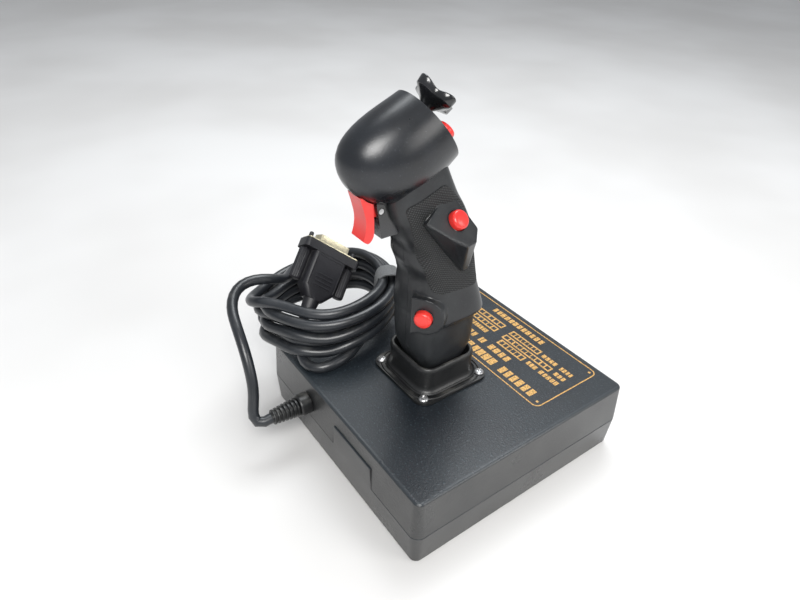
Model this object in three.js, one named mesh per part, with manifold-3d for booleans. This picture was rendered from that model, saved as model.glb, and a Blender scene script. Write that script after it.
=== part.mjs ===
// A desktop flight joystick: a square clamshell base, a two-axis gimbal, a pistol grip with a domed head,
// a trigger, a four-way hat, three push buttons, and a coiled lead that ends in a 15-way D connector.
// Millimetres. +Z is up, +Y points away from the pilot, +X is the pilot's right.
// The origin is the centre of the base, on the surface that its feet stand on.
import * as THREE from "three";
import { mergeVertices } from "three/addons/utils/BufferGeometryUtils.js";
import Module from "manifold-3d";

const wasm = await Module();
wasm.setup();

// ---- driving dimensions ----
const gap = 0.3; // between neighbouring pieces
const baseSide = 165; // across the parting line, both ways
const footHeight = 1.2;
const baseBottom = 1.5;
const partingHeight = 23;
const baseTop = 49.5;
const draft = 1.55; // how far each wall leans in over its height
const wall = 3;
const cornerRadius = 6;
const stickY = 10.7; // the stick stands a little forward of the base's centre
const pivotHeight = 31.5;
const bootHole = 40;
const flangeSide = 54.4;
const rimSide = 39;
const rimTop = 69.5;
const panelThickness = 1.2;
const buttonRadius = 5.1;
const buttonTravel = 2;
const cordDiameter = 6.8;
const reliefX = 31.5;
const reliefZ = 33.5;

const upward = [0, 0, 1];

// ---- materials ----
const plastic = (color, roughness) => new THREE.MeshStandardMaterial({ color, roughness, metalness: 0 });
const metal = (color, roughness) => new THREE.MeshStandardMaterial({ color, roughness, metalness: 1 });
const shellBlack = plastic(0x1b1c1f, 0.5);
const gripGrey = plastic(0x232427, 0.55);
const headBlack = plastic(0x14161b, 0.35);
const panelGrey = plastic(0x2a2b2d, 0.8);
const glossBlack = plastic(0x08080a, 0.18);
const signalRed = plastic(0xd8201c, 0.35);
const rubberBlack = plastic(0x101113, 0.75);
const cordBlack = plastic(0x15171a, 0.45);
const hoodBlack = plastic(0x1a1a20, 0.5);
const nylonWhite = plastic(0xd9d5c8, 0.5);
const boardGreen = plastic(0x1f5a34, 0.5);
const strapGrey = plastic(0x77797c, 0.6);
const steel = metal(0xa8aaad, 0.35);
const zincSteel = metal(0xc9c2a6, 0.35);

// ---- solids ----
function solid(geometry) {
  const bare = geometry.clone();
  for (const name of Object.keys(bare.attributes)) {
    if (name !== "position") bare.deleteAttribute(name);
  }
  const merged = mergeVertices(bare, 1e-4);
  const index = merged.index.array;
  const kept = [];
  for (let i = 0; i < index.length; i += 3) {
    const [a, b, c] = [index[i], index[i + 1], index[i + 2]];
    if (a !== b && b !== c && c !== a) kept.push(a, b, c);
  }
  const mesh = new wasm.Mesh({
    numProp: 3,
    vertProperties: merged.attributes.position.array,
    triVerts: new Uint32Array(kept),
  });
  return new wasm.Manifold(mesh);
}

function geometryOf(body) {
  const { vertProperties, triVerts } = body.getMesh();
  const made = new THREE.BufferGeometry();
  made.setAttribute("position", new THREE.BufferAttribute(new Float32Array(vertProperties), 3));
  made.setIndex(new THREE.BufferAttribute(new Uint32Array(triVerts), 1));
  made.computeVertexNormals();
  return made;
}

const join = (...bodies) => bodies.reduce((a, b) => a.add(b));
const cut = (body, ...tools) => tools.reduce((a, b) => a.subtract(b), body);

// A geometry moved to a place, with its own +Z turned to face along a direction.
function set(geometry, at, along = upward) {
  const turn = new THREE.Quaternion().setFromUnitVectors(
    new THREE.Vector3(0, 0, 1),
    new THREE.Vector3(...along).normalize(),
  );
  const place = new THREE.Matrix4().compose(new THREE.Vector3(...at), turn, new THREE.Vector3(1, 1, 1));
  return solid(geometry.clone().applyMatrix4(place));
}

const block = (size, centre, along) => set(new THREE.BoxGeometry(...size), centre, along);

// A round bar from one height to another along its own axis, which starts at a point.
function bar(radius, from, to, at = [0, 0, 0], along = upward, sides = 16, topRadius = radius) {
  const geometry = new THREE.CylinderGeometry(topRadius, radius, to - from, sides);
  geometry.rotateX(Math.PI / 2).translate(0, 0, (from + to) / 2);
  return set(geometry, at, along);
}

// A body of revolution about its own +Z; its profile is a list of [radius, height] points.
function turned(profile, at, along, sides) {
  const points = profile.map(([r, z]) => new THREE.Vector2(r, z));
  const geometry = new THREE.LatheGeometry(points, sides).rotateX(Math.PI / 2);
  return set(geometry, at, along);
}

function roundedSquare(wide, long, radius) {
  const [w, l] = [wide / 2 - radius, long / 2 - radius];
  const shape = new THREE.Shape();
  shape.absarc(w, l, radius, 0, Math.PI / 2);
  shape.absarc(-w, l, radius, Math.PI / 2, Math.PI);
  shape.absarc(-w, -l, radius, Math.PI, 1.5 * Math.PI);
  shape.absarc(w, -l, radius, 1.5 * Math.PI, 2 * Math.PI);
  return shape;
}

function prism(shape, from, to, at = [0, 0, 0], along = upward, curveSegments = 4) {
  const options = { depth: to - from, bevelEnabled: false, curveSegments, steps: 1 };
  return set(new THREE.ExtrudeGeometry(shape, options).translate(0, 0, from), at, along);
}

// A closed skin over rings that all have the same number of points.
function loft(rings) {
  const count = rings[0].length;
  const points = rings.flat();
  const index = [];
  for (let r = 0; r + 1 < rings.length; r++) {
    for (let i = 0; i < count; i++) {
      const [a, b] = [r * count + i, r * count + ((i + 1) % count)];
      index.push(a, b, b + count, a, b + count, a + count);
    }
  }
  const last = (rings.length - 1) * count;
  const middle = (ring) => ring.reduce((sum, p) => sum.add(p), new THREE.Vector3()).divideScalar(count);
  points.push(middle(rings[0]), middle(rings[rings.length - 1]));
  for (let i = 0; i < count; i++) {
    const next = (i + 1) % count;
    index.push(points.length - 2, next, i);
    index.push(points.length - 1, last + i, last + next);
  }
  const geometry = new THREE.BufferGeometry().setFromPoints(points);
  geometry.setIndex(index);
  return solid(geometry);
}

// A square ring with rounded corners, at one height.
function squareRing(wide, long, radius, z, [x, y] = [0, 0]) {
  const points = roundedSquare(wide, long, radius).extractPoints(4).shape;
  const closed = points[0].distanceTo(points[points.length - 1]) < 1e-6;
  return points.slice(0, closed ? -1 : undefined).map((p) => new THREE.Vector3(p.x + x, p.y + y, z));
}

const root = new THREE.Group();
const bodies = {};

function piece(name, body, material) {
  const mesh = new THREE.Mesh(geometryOf(body), material);
  mesh.name = name;
  bodies[name] = body;
  root.add(mesh);
  return body;
}

// ---- base ----
const postSpacing = 66;
const corners = [
  [1, 1],
  [-1, 1],
  [-1, -1],
  [1, -1],
];
const footRadius = 7;
const footSpacing = 52;
const tongue = { left: -40.5, right: 1.5, top: 38.5, proud: 0 };

const baseRing = (inset, z, radius = cornerRadius) =>
  squareRing(baseSide - 2 * inset, baseSide - 2 * inset, radius - Math.min(inset, radius / 2), z);

function tongueSolid(grow) {
  const width = tongue.right - tongue.left + 2 * grow;
  const shape = new THREE.Shape();
  shape.moveTo(-width / 2, 0);
  shape.lineTo(width / 2, 0);
  shape.lineTo(width / 2 - 1.5, tongue.top + grow - partingHeight);
  shape.lineTo(-width / 2 + 1.5, tongue.top + grow - partingHeight);
  const centre = [(tongue.left + tongue.right) / 2, baseSide / 2 + tongue.proud, partingHeight];
  // the outline stands in the XZ plane and is extruded back into the wall
  const geometry = new THREE.ExtrudeGeometry(shape, { depth: wall + 1, bevelEnabled: false });
  geometry.rotateX(Math.PI / 2).translate(...centre);
  return solid(geometry);
}

function bottomShell() {
  const outer = loft([baseRing(draft, baseBottom), baseRing(0, partingHeight)]);
  const inner = loft([baseRing(draft + wall, baseBottom + wall), baseRing(wall, partingHeight + 1)]);
  let shell = join(cut(outer, inner), tongueSolid(0));
  for (const [x, y] of corners) {
    const at = [x * postSpacing, y * postSpacing, 0];
    shell = join(shell, bar(5.5, baseBottom + 1, 12, at, upward, 12));
    shell = cut(shell, bar(1.9, 0, 30, at, upward, 8), bar(3.7, 0, 6, at, upward, 12));
  }
  return shell;
}

function topShell() {
  const rimInset = draft + 1;
  const outer = loft([baseRing(0, partingHeight + gap), baseRing(draft, baseTop - 1), baseRing(rimInset, baseTop)]);
  const inner = loft([baseRing(wall, partingHeight - 1), baseRing(draft + wall, baseTop - wall)]);
  const hole = prism(roundedSquare(bootHole, bootHole, 4), 40, 60, [0, stickY, 0]);
  const reliefHole = bar(5.2, -10, 10, [reliefX, baseSide / 2, reliefZ], [0, 1, 0], 16);
  let shell = cut(outer, inner, hole, tongueSolid(gap), reliefHole);
  for (const [x, y] of corners) {
    const at = [x * postSpacing, y * postSpacing, 0];
    shell = join(shell, bar(4.5, 12 + gap, baseTop - 1, at, upward, 12));
    shell = cut(shell, bar(1.9, 0, 30, at, upward, 8));
  }
  return shell;
}

piece("base_bottom_shell", bottomShell(), shellBlack);
piece("base_top_shell", topShell(), shellBlack);

corners.forEach(([x, y], i) => {
  const foot = bar(footRadius, 0, footHeight, [x * footSpacing, y * footSpacing, 0]);
  piece(`foot_${i + 1}`, foot, rubberBlack);
  const at = [x * postSpacing, y * postSpacing, 0];
  const screw = join(bar(3.2, 3.6, 6 - gap, at, upward, 12), bar(1.4, 5, 22, at, upward, 8));
  piece(`case_screw_${i + 1}`, cut(screw, block([4, 0.9, 1.6], [at[0], at[1], 3.6])), steel);
});

// ---- boot ----
const screwSpacing = 22.2;
const flangeBottom = baseTop + gap;
const flangeTop = flangeBottom + 1.8;

function bootFlange() {
  const at = [0, stickY, 0];
  const plate = prism(roundedSquare(flangeSide, flangeSide, 8), flangeBottom, flangeTop, at);
  const ridge = cut(
    prism(roundedSquare(45, 45, 9), flangeTop - 0.5, flangeTop + 1, at),
    prism(roundedSquare(42.4, 42.4, 8), flangeTop - 1, flangeTop + 2, at),
  );
  let flange = cut(join(plate, ridge), prism(roundedSquare(36, 36, 5), 40, 60, at));
  for (const [x, y] of corners) {
    const hole = bar(2.4, 40, 60, [x * screwSpacing, stickY + y * screwSpacing, 0], upward, 10);
    flange = cut(flange, hole);
  }
  return flange;
}

// A thin square sleeve between two heights.
function sleeve(sideLow, sideHigh, low, high, thick) {
  const radius = (side) => side * 0.18;
  const ring = (side, z) => squareRing(side, side, radius(side), z, [0, stickY]);
  const outer = loft([ring(sideLow, low), ring(sideHigh, high)]);
  const inner = loft([ring(sideLow - 2 * thick, low - 0.5), ring(sideHigh - 2 * thick, high + 0.5)]);
  return cut(outer, inner);
}

piece("boot_flange", bootFlange(), rubberBlack);
piece("boot_lower_wall", sleeve(41.6, 40.4, flangeTop + gap, 60, 1.4), rubberBlack);
piece("boot_upper_wall", sleeve(40.4, rimSide, 60 + gap, rimTop, 1.4), rubberBlack);

corners.forEach(([x, y], i) => {
  const at = [x * screwSpacing, stickY + y * screwSpacing, 0];
  const head = bar(2.1, flangeBottom + 0.3, flangeTop + 0.2, at, upward, 10);
  piece(`boot_screw_${i + 1}`, cut(head, block([2.6, 0.6, 1], [at[0], at[1], flangeTop + 0.2])), steel);
});

// ---- gimbal ----
const frameInner = 56;
const frameOuter = 61;
const yokeOuter = 46;
const yokeInner = 34;
const hubSide = 20;
const pinRadius = 2;
const pivot = [0, stickY, pivotHeight];

function gimbalFrame() {
  const at = [0, stickY, 0];
  const box = prism(roundedSquare(frameOuter, frameOuter, 3), 21, baseTop - wall - gap, at);
  const hollow = prism(roundedSquare(frameInner, frameInner, 2), 15, 60, at);
  const holes = bar(pinRadius + gap, -40, 40, pivot, [1, 0, 0], 12);
  return cut(box, hollow, holes);
}

function gimbalYoke() {
  const at = [0, stickY, 0];
  const ring = cut(
    prism(roundedSquare(yokeOuter, yokeOuter, 3), pivotHeight - 5, pivotHeight + 5, at),
    prism(roundedSquare(yokeInner, yokeInner, 2), 15, 60, at),
  );
  const pitchHoles = bar(pinRadius + gap, -40, 40, pivot, [1, 0, 0], 12);
  const rollHoles = bar(pinRadius + gap, -40, 40, pivot, [0, 1, 0], 12);
  return cut(ring, pitchHoles, rollHoles);
}

piece("gimbal_frame", gimbalFrame(), nylonWhite);
piece("gimbal_yoke", gimbalYoke(), nylonWhite);
for (const [name, side] of [["left", -1], ["right", 1]]) {
  piece(`pitch_pin_${name}`, bar(pinRadius, yokeInner / 2 + 1, frameOuter / 2, pivot, [side, 0, 0], 12), steel);
}
for (const [name, side] of [["rear", -1], ["front", 1]]) {
  piece(`roll_pin_${name}`, bar(pinRadius, hubSide / 2 - 2, yokeOuter / 2, pivot, [0, side, 0], 12), steel);
}

const shaftRadius = 6;
const shaftTop = 118;

function stickShaft() {
  const tube = bar(shaftRadius, 16, shaftTop, [0, stickY, 0], upward, 16);
  const hub = prism(roundedSquare(hubSide, hubSide, 2), pivotHeight - 6, pivotHeight + 6, [0, stickY, 0]);
  const bore = bar(shaftRadius - 1.5, 10, shaftTop + 10, [0, stickY, 0], upward, 12);
  const holes = bar(pinRadius + gap, -40, 40, pivot, [0, 1, 0], 12);
  return cut(join(tube, hub), bore, holes);
}

function shaftNut() {
  const hex = new THREE.CylinderGeometry(10, 10, 5, 6).rotateX(Math.PI / 2).translate(0, stickY, 47);
  return cut(solid(hex), bar(shaftRadius + gap, 30, 60, [0, stickY, 0], upward, 16));
}

piece("stick_shaft", stickShaft(), steel);
piece("shaft_nut", shaftNut(), steel);

// The pitch sensor stands outside the frame; the flat roll sensor rides on the yoke.
const pitchSensorAt = [frameOuter / 2 + 2, stickY, pivotHeight];
const pitchSensor = join(bar(8.5, 0, 8, pitchSensorAt, [1, 0, 0]), bar(3, -1.5, 1, pitchSensorAt, [1, 0, 0], 12));
piece("pitch_sensor", pitchSensor, steel);
piece("roll_sensor", bar(5, gap, 4.2, [0, stickY + yokeOuter / 2, pivotHeight], [0, 1, 0]), steel);
piece("circuit_board", block([70, 36, 1.6], [0, -48, 5.6]), boardGreen);

// The two centring springs, as plain sleeves of the coils' outer size.
function spring(at, height) {
  return cut(bar(3, 0, height, at, upward, 12), bar(2.2, -1, height + 1, at, upward, 12));
}
const floor = baseBottom + wall + gap;
piece("pitch_spring", spring([14, stickY + yokeOuter / 2 - 3, floor], 21), steel);
piece("roll_spring", spring([-9.4, stickY, floor], 20), steel);

// ---- grip ----
// Level sections of the grip: height, centre along Y, half width, reach forward, reach back.
const gripSections = [
  [64, 10.6, 15.6, 15.6, 15.6],
  [69.6, 10.6, 17.6, 17.4, 17.4],
  [78, 10.3, 19.3, 20.5, 19.8],
  [90, 10.3, 19.8, 21.5, 20.2],
  [98.5, 10.2, 20.2, 21.5, 20.8],
  [101, 10, 22.3, 21.5, 23.8],
  [104, 10, 22.6, 21.3, 24],
  [119, 11, 19.8, 20.6, 20.3],
  [126, 12.2, 19.4, 18.8, 19.8],
  [131, 13.2, 19.3, 18.8, 19.8],
  [138, 14.8, 19.2, 20.4, 20],
  [147, 17.1, 19.1, 18.8, 20.3],
  [156, 19.8, 18.9, 21.4, 20.6],
  [162, 22, 18.8, 22.4, 20.8],
  [170, 26, 18.6, 22.8, 20.6],
  [180, 31, 18.2, 20, 19.4],
  [200, 36, 16, 14, 15],
];
const gripSquareness = 3.6;
const gripWall = 2.6;
const shaftClampTop = 73;

const power = (value, exponent) => Math.sign(value) * Math.abs(value) ** exponent;

function gripRing([z, y, halfWidth, front, back], grow, sides) {
  const ring = [];
  for (let i = 0; i < sides; i++) {
    const angle = (2 * Math.PI * i) / sides;
    const reach = (Math.sin(angle) > 0 ? front : back) + grow;
    ring.push(
      new THREE.Vector3(
        (halfWidth + grow) * power(Math.cos(angle), 2 / gripSquareness),
        y + reach * power(Math.sin(angle), 2 / gripSquareness),
        z,
      ),
    );
  }
  return ring;
}

const gripSolid = (grow, sections = gripSections, sides = 24) =>
  loft(sections.map((section) => gripRing(section, grow, sides)));

// ---- head ----
// The head is a blunt dome on a curved axis that starts at the middle of its flat face.
const faceCentre = [0, 23.8, 210.7];
const faceTilt = THREE.MathUtils.degToRad(52.5);
const axisDip = THREE.MathUtils.degToRad(32.3);
const headLength = 50.8;
const headLift = 7.4; // how far the nose bends up off the straight axis
const headWidths = [18.5, 20];
const headHeights = [22.4, 24.6];
const bluntness = 4.25;
const headWall = 2.4;
const faceNormal = [0, -Math.sin(faceTilt), Math.cos(faceTilt)];

// A point over the flat face: across it, up it, and out from it.
function onFace(across, up, out = 0) {
  return [
    across,
    faceCentre[1] + up * Math.cos(faceTilt) - out * Math.sin(faceTilt),
    faceCentre[2] + up * Math.sin(faceTilt) + out * Math.cos(faceTilt),
  ];
}

function headRing(distance, grow, sides) {
  const part = Math.max(distance / headLength, 0);
  const taper = Math.sqrt(1 - part ** bluntness);
  const swell = Math.sin((Math.PI / 2) * Math.min(distance / (0.55 * headLength), 1));
  const halfWidth = (headWidths[0] + (headWidths[1] - headWidths[0]) * swell) * taper + grow;
  const halfHeight = (headHeights[0] + (headHeights[1] - headHeights[0]) * swell) * taper + grow;
  const lift = headLift * part * part;
  const ring = [];
  for (let i = 0; i < sides; i++) {
    const angle = (2 * Math.PI * i) / sides;
    const high = halfHeight * Math.sin(angle) + lift;
    ring.push(
      new THREE.Vector3(
        -halfWidth * Math.cos(angle),
        faceCentre[1] + distance * Math.cos(axisDip) + high * Math.sin(axisDip),
        faceCentre[2] - distance * Math.sin(axisDip) + high * Math.cos(axisDip),
      ),
    );
  }
  return ring;
}

function headSolid(grow, sides = 24) {
  const steps = [-24, 4.3, 16.2, 26.1, 34.2, 40.1, 44.6, 48.1, 50.3];
  const rings = steps.map((distance) => headRing(distance, grow, sides));
  if (grow > 0) rings.push(headRing(headLength, 0, sides).map((p) => p.add(new THREE.Vector3(0, grow, 0))));
  return loft(rings);
}

// Everything that lies further out than a plane parallel to the flat face.
const beyondFace = (out) => block([160, 160, 120], onFace(0, 0, out + 60), faceNormal);

const hatPlace = [0.5, 7.6];
const hatTilt = THREE.MathUtils.degToRad(47);
const hatAxis = [0, -Math.sin(hatTilt), Math.cos(hatTilt)];

// ---- buttons ----
const thumb = { at: [-25, 21.9, 169.3], along: [-0.75, -0.1, 0.65] };
const pinky = { at: [-16.4, 31.9, 108.3], along: [-0.6, 0.8, 0] };
const top = { at: onFace(-9.5, -2), along: faceNormal };
const wellRadius = buttonRadius + 0.8;

function button({ at, along }) {
  const profile = [[0, -6], [buttonRadius, -6], [buttonRadius, 2.6], [4.4, 3.7], [2.6, 4.3], [0, 4.5]];
  return turned(profile, at, along, 16);
}

const well = ({ at, along }, depth) => bar(wellRadius, -depth, 12, at, along, 16);

// A small switch that stands under a button, clear of its travel.
function buttonSwitch({ at, along }) {
  const inward = new THREE.Vector3(...along).normalize();
  const from = (distance) => new THREE.Vector3(...at).addScaledVector(inward, distance).toArray();
  return join(block([6.4, 6.4, 5], from(-13), along), bar(1.5, -1, 1.6, from(-10.5), along, 12));
}

// The boss that carries the thumb button: a three-cornered table that stands out of the grip's left side.
function thumbBoss() {
  const table = [
    [-25, 41.5, 172.6],
    [-17.5, 26, 178.6],
    [-18.2, 17, 177],
    [-28.5, 10.2, 163.8],
    [-33.2, 14.5, 159],
    [-34.4, 21.5, 158.6],
    [-31.5, 29, 163.2],
  ];
  const foot = [
    [-19, 38.5, 169],
    [-10, 27, 168],
    [-10, 15, 168],
    [-14, 3, 145],
    [-20, 5.5, 134],
    [-20.5, 10.5, 133],
    [-19.5, 17, 141],
  ];
  const ring = (points) => points.map((p) => new THREE.Vector3(...p)).reverse();
  return loft([ring(foot), ring(table)]);
}

// The pod on the grip's lower front corner that carries the little-finger button.
function pinkyPod() {
  const shape = new THREE.Shape();
  shape.moveTo(-8, -13.5);
  shape.lineTo(-3, -11.4);
  shape.absarc(0, 0, 11.8, -1.83, 1.5);
  shape.lineTo(-8, 12);
  const turn = new THREE.Matrix4().makeBasis(
    new THREE.Vector3(-0.8, -0.6, 0),
    new THREE.Vector3(0, 0, 1),
    new THREE.Vector3(...pinky.along),
  );
  const geometry = new THREE.ExtrudeGeometry(shape, { depth: 12, bevelEnabled: false, curveSegments: 8 });
  return solid(geometry.translate(0, 0, -12).applyMatrix4(turn.setPosition(...pinky.at)));
}

// A thin textured panel that lies on one side of the grip.
const sidePanelOutline = [
  [24.5, 187],
  [47.5, 178.5],
  [26.8, 122.5],
  [-4.5, 120.5],
  [3, 150],
  [10, 172],
];

// An outline in the YZ plane, extruded across X.
function sideProfile(shape, from, to, curveSegments = 8) {
  const options = { depth: to - from, bevelEnabled: false, curveSegments };
  const geometry = new THREE.ExtrudeGeometry(shape, options).translate(0, 0, from);
  return solid(geometry.rotateX(Math.PI / 2).rotateZ(Math.PI / 2));
}

function sidePanel(side) {
  const shape = new THREE.Shape(sidePanelOutline.map(([y, z]) => new THREE.Vector2(y, z)));
  const skin = cut(gripSolid(gap + panelThickness), gripSolid(gap));
  const window = sideProfile(shape, side > 0 ? 14 : -26, side > 0 ? 26 : -14);
  return cut(skin.intersect(window), headSolid(gap));
}

// ---- trigger ----
const triggerPivot = [0, 54.6, 175];
const triggerHalfWidth = 5.6;
const shankHalfWidth = 3.6;

function triggerBlade() {
  const front = [[66.4, 184.6], [64.4, 178], [62.9, 171], [63.3, 165], [64.6, 160.8]];
  const back = [[61.4, 158.8], [58.6, 162], [58.2, 168], [58.6, 175], [59, 183]];
  const toVectors = (points) => points.map((p) => new THREE.Vector2(...p));
  const shape = new THREE.Shape([new THREE.Vector2(59, 183)]);
  shape.lineTo(...front[0]);
  shape.splineThru(toVectors(front.slice(1)));
  shape.splineThru(toVectors(back));
  const finger = sideProfile(shape, -triggerHalfWidth, triggerHalfWidth, 2);
  const shank = new THREE.Shape(toVectors([[51.6, 173], [53, 171.6], [62, 171.6], [62, 182], [51.6, 178]]));
  const blade = join(finger, sideProfile(shank, -shankHalfWidth, shankHalfWidth));
  return cut(blade, headSolid(1.2), bar(1.5 + gap, -20, 20, triggerPivot, [1, 0, 0], 12));
}

function triggerHousing() {
  const outline = [[44, 160], [54.4, 160], [56.2, 172], [57.4, 178], [57.4, 181], [44, 181]];
  const body = sideProfile(new THREE.Shape(outline.map((p) => new THREE.Vector2(...p))), -6.4, 6.4);
  const slot = block([2 * (shankHalfWidth + gap), 14, 17], [0, 57, 178.5]);
  const pin = bar(1.5 + gap, -20, 20, triggerPivot, [1, 0, 0], 12);
  return cut(body, slot, pin, gripSolid(gap), headSolid(gap));
}

// ---- the stick's pieces ----
const boss = cut(thumbBoss(), gripSolid(gap), headSolid(gap), well(thumb, 18));

function gripHalf(side) {
  const cavity = gripSolid(
    -gripWall,
    gripSections.filter(([z]) => z > shaftClampTop && z < 199),
    16,
  );
  const shaftBore = bar(shaftRadius + gap, 50, 100, [0, stickY, 0], upward, 16);
  const wells = [thumb, pinky].map((place) => well(place, 24));
  const triggerDoor = block([9, 16, 18], [0, 44, 172]);
  const body = cut(gripSolid(0), cavity, shaftBore, headSolid(gap), triggerDoor, ...wells);
  return body.intersect(block([80, 200, 300], [side * (40 + gap / 2), 20, 120]));
}

piece("grip_left_shell", gripHalf(-1), gripGrey);
piece("grip_right_shell", gripHalf(1), gripGrey);
piece("thumb_boss", boss, gripGrey);
piece("pinky_pod", cut(pinkyPod(), gripSolid(gap), well(pinky, 15)), gripGrey);
piece("left_side_panel", cut(sidePanel(-1), thumbBossClearance()), panelGrey);
piece("right_side_panel", sidePanel(1), panelGrey);

// The boss grown a little all round, so that the panel stops short of it.
function thumbBossClearance() {
  const centre = new THREE.Vector3(-22, 22, 155);
  const grown = new THREE.Matrix4().makeTranslation(centre).scale(new THREE.Vector3(1.04, 1.04, 1.03));
  grown.multiply(new THREE.Matrix4().makeTranslation(centre.negate()));
  return solid(geometryOf(thumbBoss()).applyMatrix4(grown));
}

const faceInset = 0.4;
function facePlate() {
  const slab = cut(headSolid(-headWall - gap, 18), beyondFace(-faceInset)).intersect(beyondFace(-faceInset - 2.4));
  return cut(slab, well(top, 8), bar(6.9, -10, 10, onFace(...hatPlace), faceNormal, 16));
}

piece("head_shell", cut(headSolid(0), headSolid(-headWall, 20), beyondFace(0)), headBlack);
piece("head_face", facePlate(), glossBlack);
piece("top_button", button(top), signalRed);
piece("thumb_button", button(thumb), signalRed);
piece("pinky_button", button(pinky), signalRed);

// Hat: a cap with four lobes on a stem, which rocks on a small cross-piece under the face.
const hatPivotDepth = 5;
function hatCap() {
  const lobes = new THREE.Shape();
  const points = [];
  for (let i = 0; i < 24; i++) {
    const angle = (2 * Math.PI * i) / 24;
    const radius = 10.9 + 1.9 * Math.cos(4 * angle);
    points.push(new THREE.Vector2(radius * Math.cos(angle), radius * Math.sin(angle)));
  }
  lobes.setFromPoints(points);
  const at = onFace(...hatPlace);
  const cap = prism(lobes, 9.2, 14.4, at, hatAxis);
  const stem = [[0, -3], [3, -3], [3, 3], [3.4, 5], [7.5, 10], [0, 10]];
  return join(cap, turned(stem, at, hatAxis, 16));
}
const hatCross = () => block([5, 5, 5], onFace(hatPlace[0], hatPlace[1], -hatPivotDepth - 1), hatAxis);
const hatCollar = () =>
  turned([[5.8, -2.4], [6.6, -2.4], [6.6, 1], [5.8, 1.6], [5.8, -2.4]], onFace(...hatPlace), faceNormal, 16);

piece("hat_cap", hatCap(), glossBlack);
piece("hat_cross", hatCross(), nylonWhite);
piece("hat_collar", hatCollar(), glossBlack);

piece("trigger_housing", triggerHousing(), glossBlack);
piece("trigger", triggerBlade(), signalRed);
piece("trigger_pin", bar(1.5, -6.3, 6.3, triggerPivot, [1, 0, 0], 12), steel);
piece("thumb_switch", buttonSwitch(thumb), glossBlack);
piece("pinky_switch", buttonSwitch(pinky), glossBlack);
piece("top_switch", buttonSwitch(top), glossBlack);

// ---- lead ----
const coilCentre = [72, 42];
const coilInner = 29;
const coilOuter = 44.5;
const coilBottom = baseTop + gap;
const coilTop = 87;

function coilRing() {
  const [low, high] = [coilBottom, coilTop];
  const profile = [
    [coilInner, low + 6],
    [coilInner + 3, low],
    [coilOuter - 5, low],
    [coilOuter, low + 8],
    [coilOuter, high - 10],
    [coilOuter - 4, high - 3],
    [coilOuter - 10, high],
    [coilInner + 4, high],
    [coilInner, high - 6],
    [coilInner, low + 6],
  ];
  return turned(profile, [...coilCentre, 0], upward, 24);
}

const circleShape = (radius, sides) => {
  const shape = new THREE.Shape();
  shape.setFromPoints(
    Array.from({ length: sides }, (_, i) => {
      const angle = (2 * Math.PI * i) / sides;
      return new THREE.Vector2(radius * Math.cos(angle), radius * Math.sin(angle));
    }),
  );
  return shape;
};

function cordAlong(points, steps) {
  const extrudePath = new THREE.CatmullRomCurve3(points.map((p) => new THREE.Vector3(...p)));
  return solid(new THREE.ExtrudeGeometry(circleShape(cordDiameter / 2, 8), { steps, extrudePath }));
}

const reliefTip = 108;
// From the strain relief the lead swings out, turns up, and bends over into the coil.
const leadRoute = [
  [reliefX, reliefTip + 1, reliefZ - 0.2],
  [reliefX, 112.4, 32.6],
  [32.6, 115.8, 31.6],
  [34.8, 117.4, 33.6],
  [36.8, 116.8, 39],
  [38.2, 115.2, 46],
  [41.4, 113.3, 55.9],
  [50.1, 111.8, 71.1],
  [63.6, 110, 82.1],
  [76, 107.4, 87.8],
  [84, 102.4, 92.2],
  [88.6, 94.6, 94.8],
  [88.4, 84.6, 95.4],
  [86.6, 75, 93.4],
];
// Where it leaves the coil it climbs through the middle to the connector.
const hoodAt = [70, 56.4, 79.6];
const hoodUp = [0.421, -0.667, 0.614];
const hoodLong = [-0.313, -0.742, -0.593];
const tailRoute = [
  [66.3, 62.3, 74.1],
  [65.1, 64.1, 71.7],
  [65, 65.2, 68],
  [66.2, 64.8, 64],
];

function strainRelief() {
  const profile = [[0, -6], [4.7, -6], [4.7, 0], [7, 0], [7, 7.5], [6.3, 8.5], [4.9, 24.5], [4.4, 25.5], [0, 25.5]];
  return turned(profile, [reliefX, baseSide / 2, reliefZ], [0, 1, 0], 16);
}

piece("strain_relief", strainRelief(), rubberBlack);
piece("cord_lead", cordAlong(leadRoute, 44), cordBlack);
piece("cord_coil", coilRing(), cordBlack);
piece("cord_tail", cordAlong(tailRoute, 10), cordBlack);

// A frame for the connector: its own X along the row of pins, its own Z towards the mating end.
const hoodFrame = (() => {
  const up = new THREE.Vector3(...hoodUp).normalize();
  const long = new THREE.Vector3(...hoodLong);
  long.addScaledVector(up, -long.dot(up)).normalize();
  const face = new THREE.Vector3().crossVectors(up, long);
  return new THREE.Matrix4().makeBasis(long, face, up).setPosition(...hoodAt);
})();

const inHood = (body) => solid(geometryOf(body).applyMatrix4(hoodFrame));

function dOutline(long, wide, radius, slant) {
  const shape = new THREE.Shape();
  const [a, b] = [long / 2, wide / 2];
  shape.moveTo(-a + radius, b);
  shape.lineTo(a - radius, b);
  shape.quadraticCurveTo(a, b, a - slant * 0.3, b - radius);
  shape.lineTo(a - slant, -b + radius);
  shape.quadraticCurveTo(a - slant, -b, a - slant - radius, -b);
  shape.lineTo(-a + slant + radius, -b);
  shape.quadraticCurveTo(-a + slant, -b, -a + slant, -b + radius);
  shape.lineTo(-a + slant * 0.3, b - radius);
  shape.quadraticCurveTo(-a, b, -a + radius, b);
  return shape;
}

const screwPitch = 33.32; // between the two jack screws of a 15-way D connector
const hoodHeight = 36;

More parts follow.
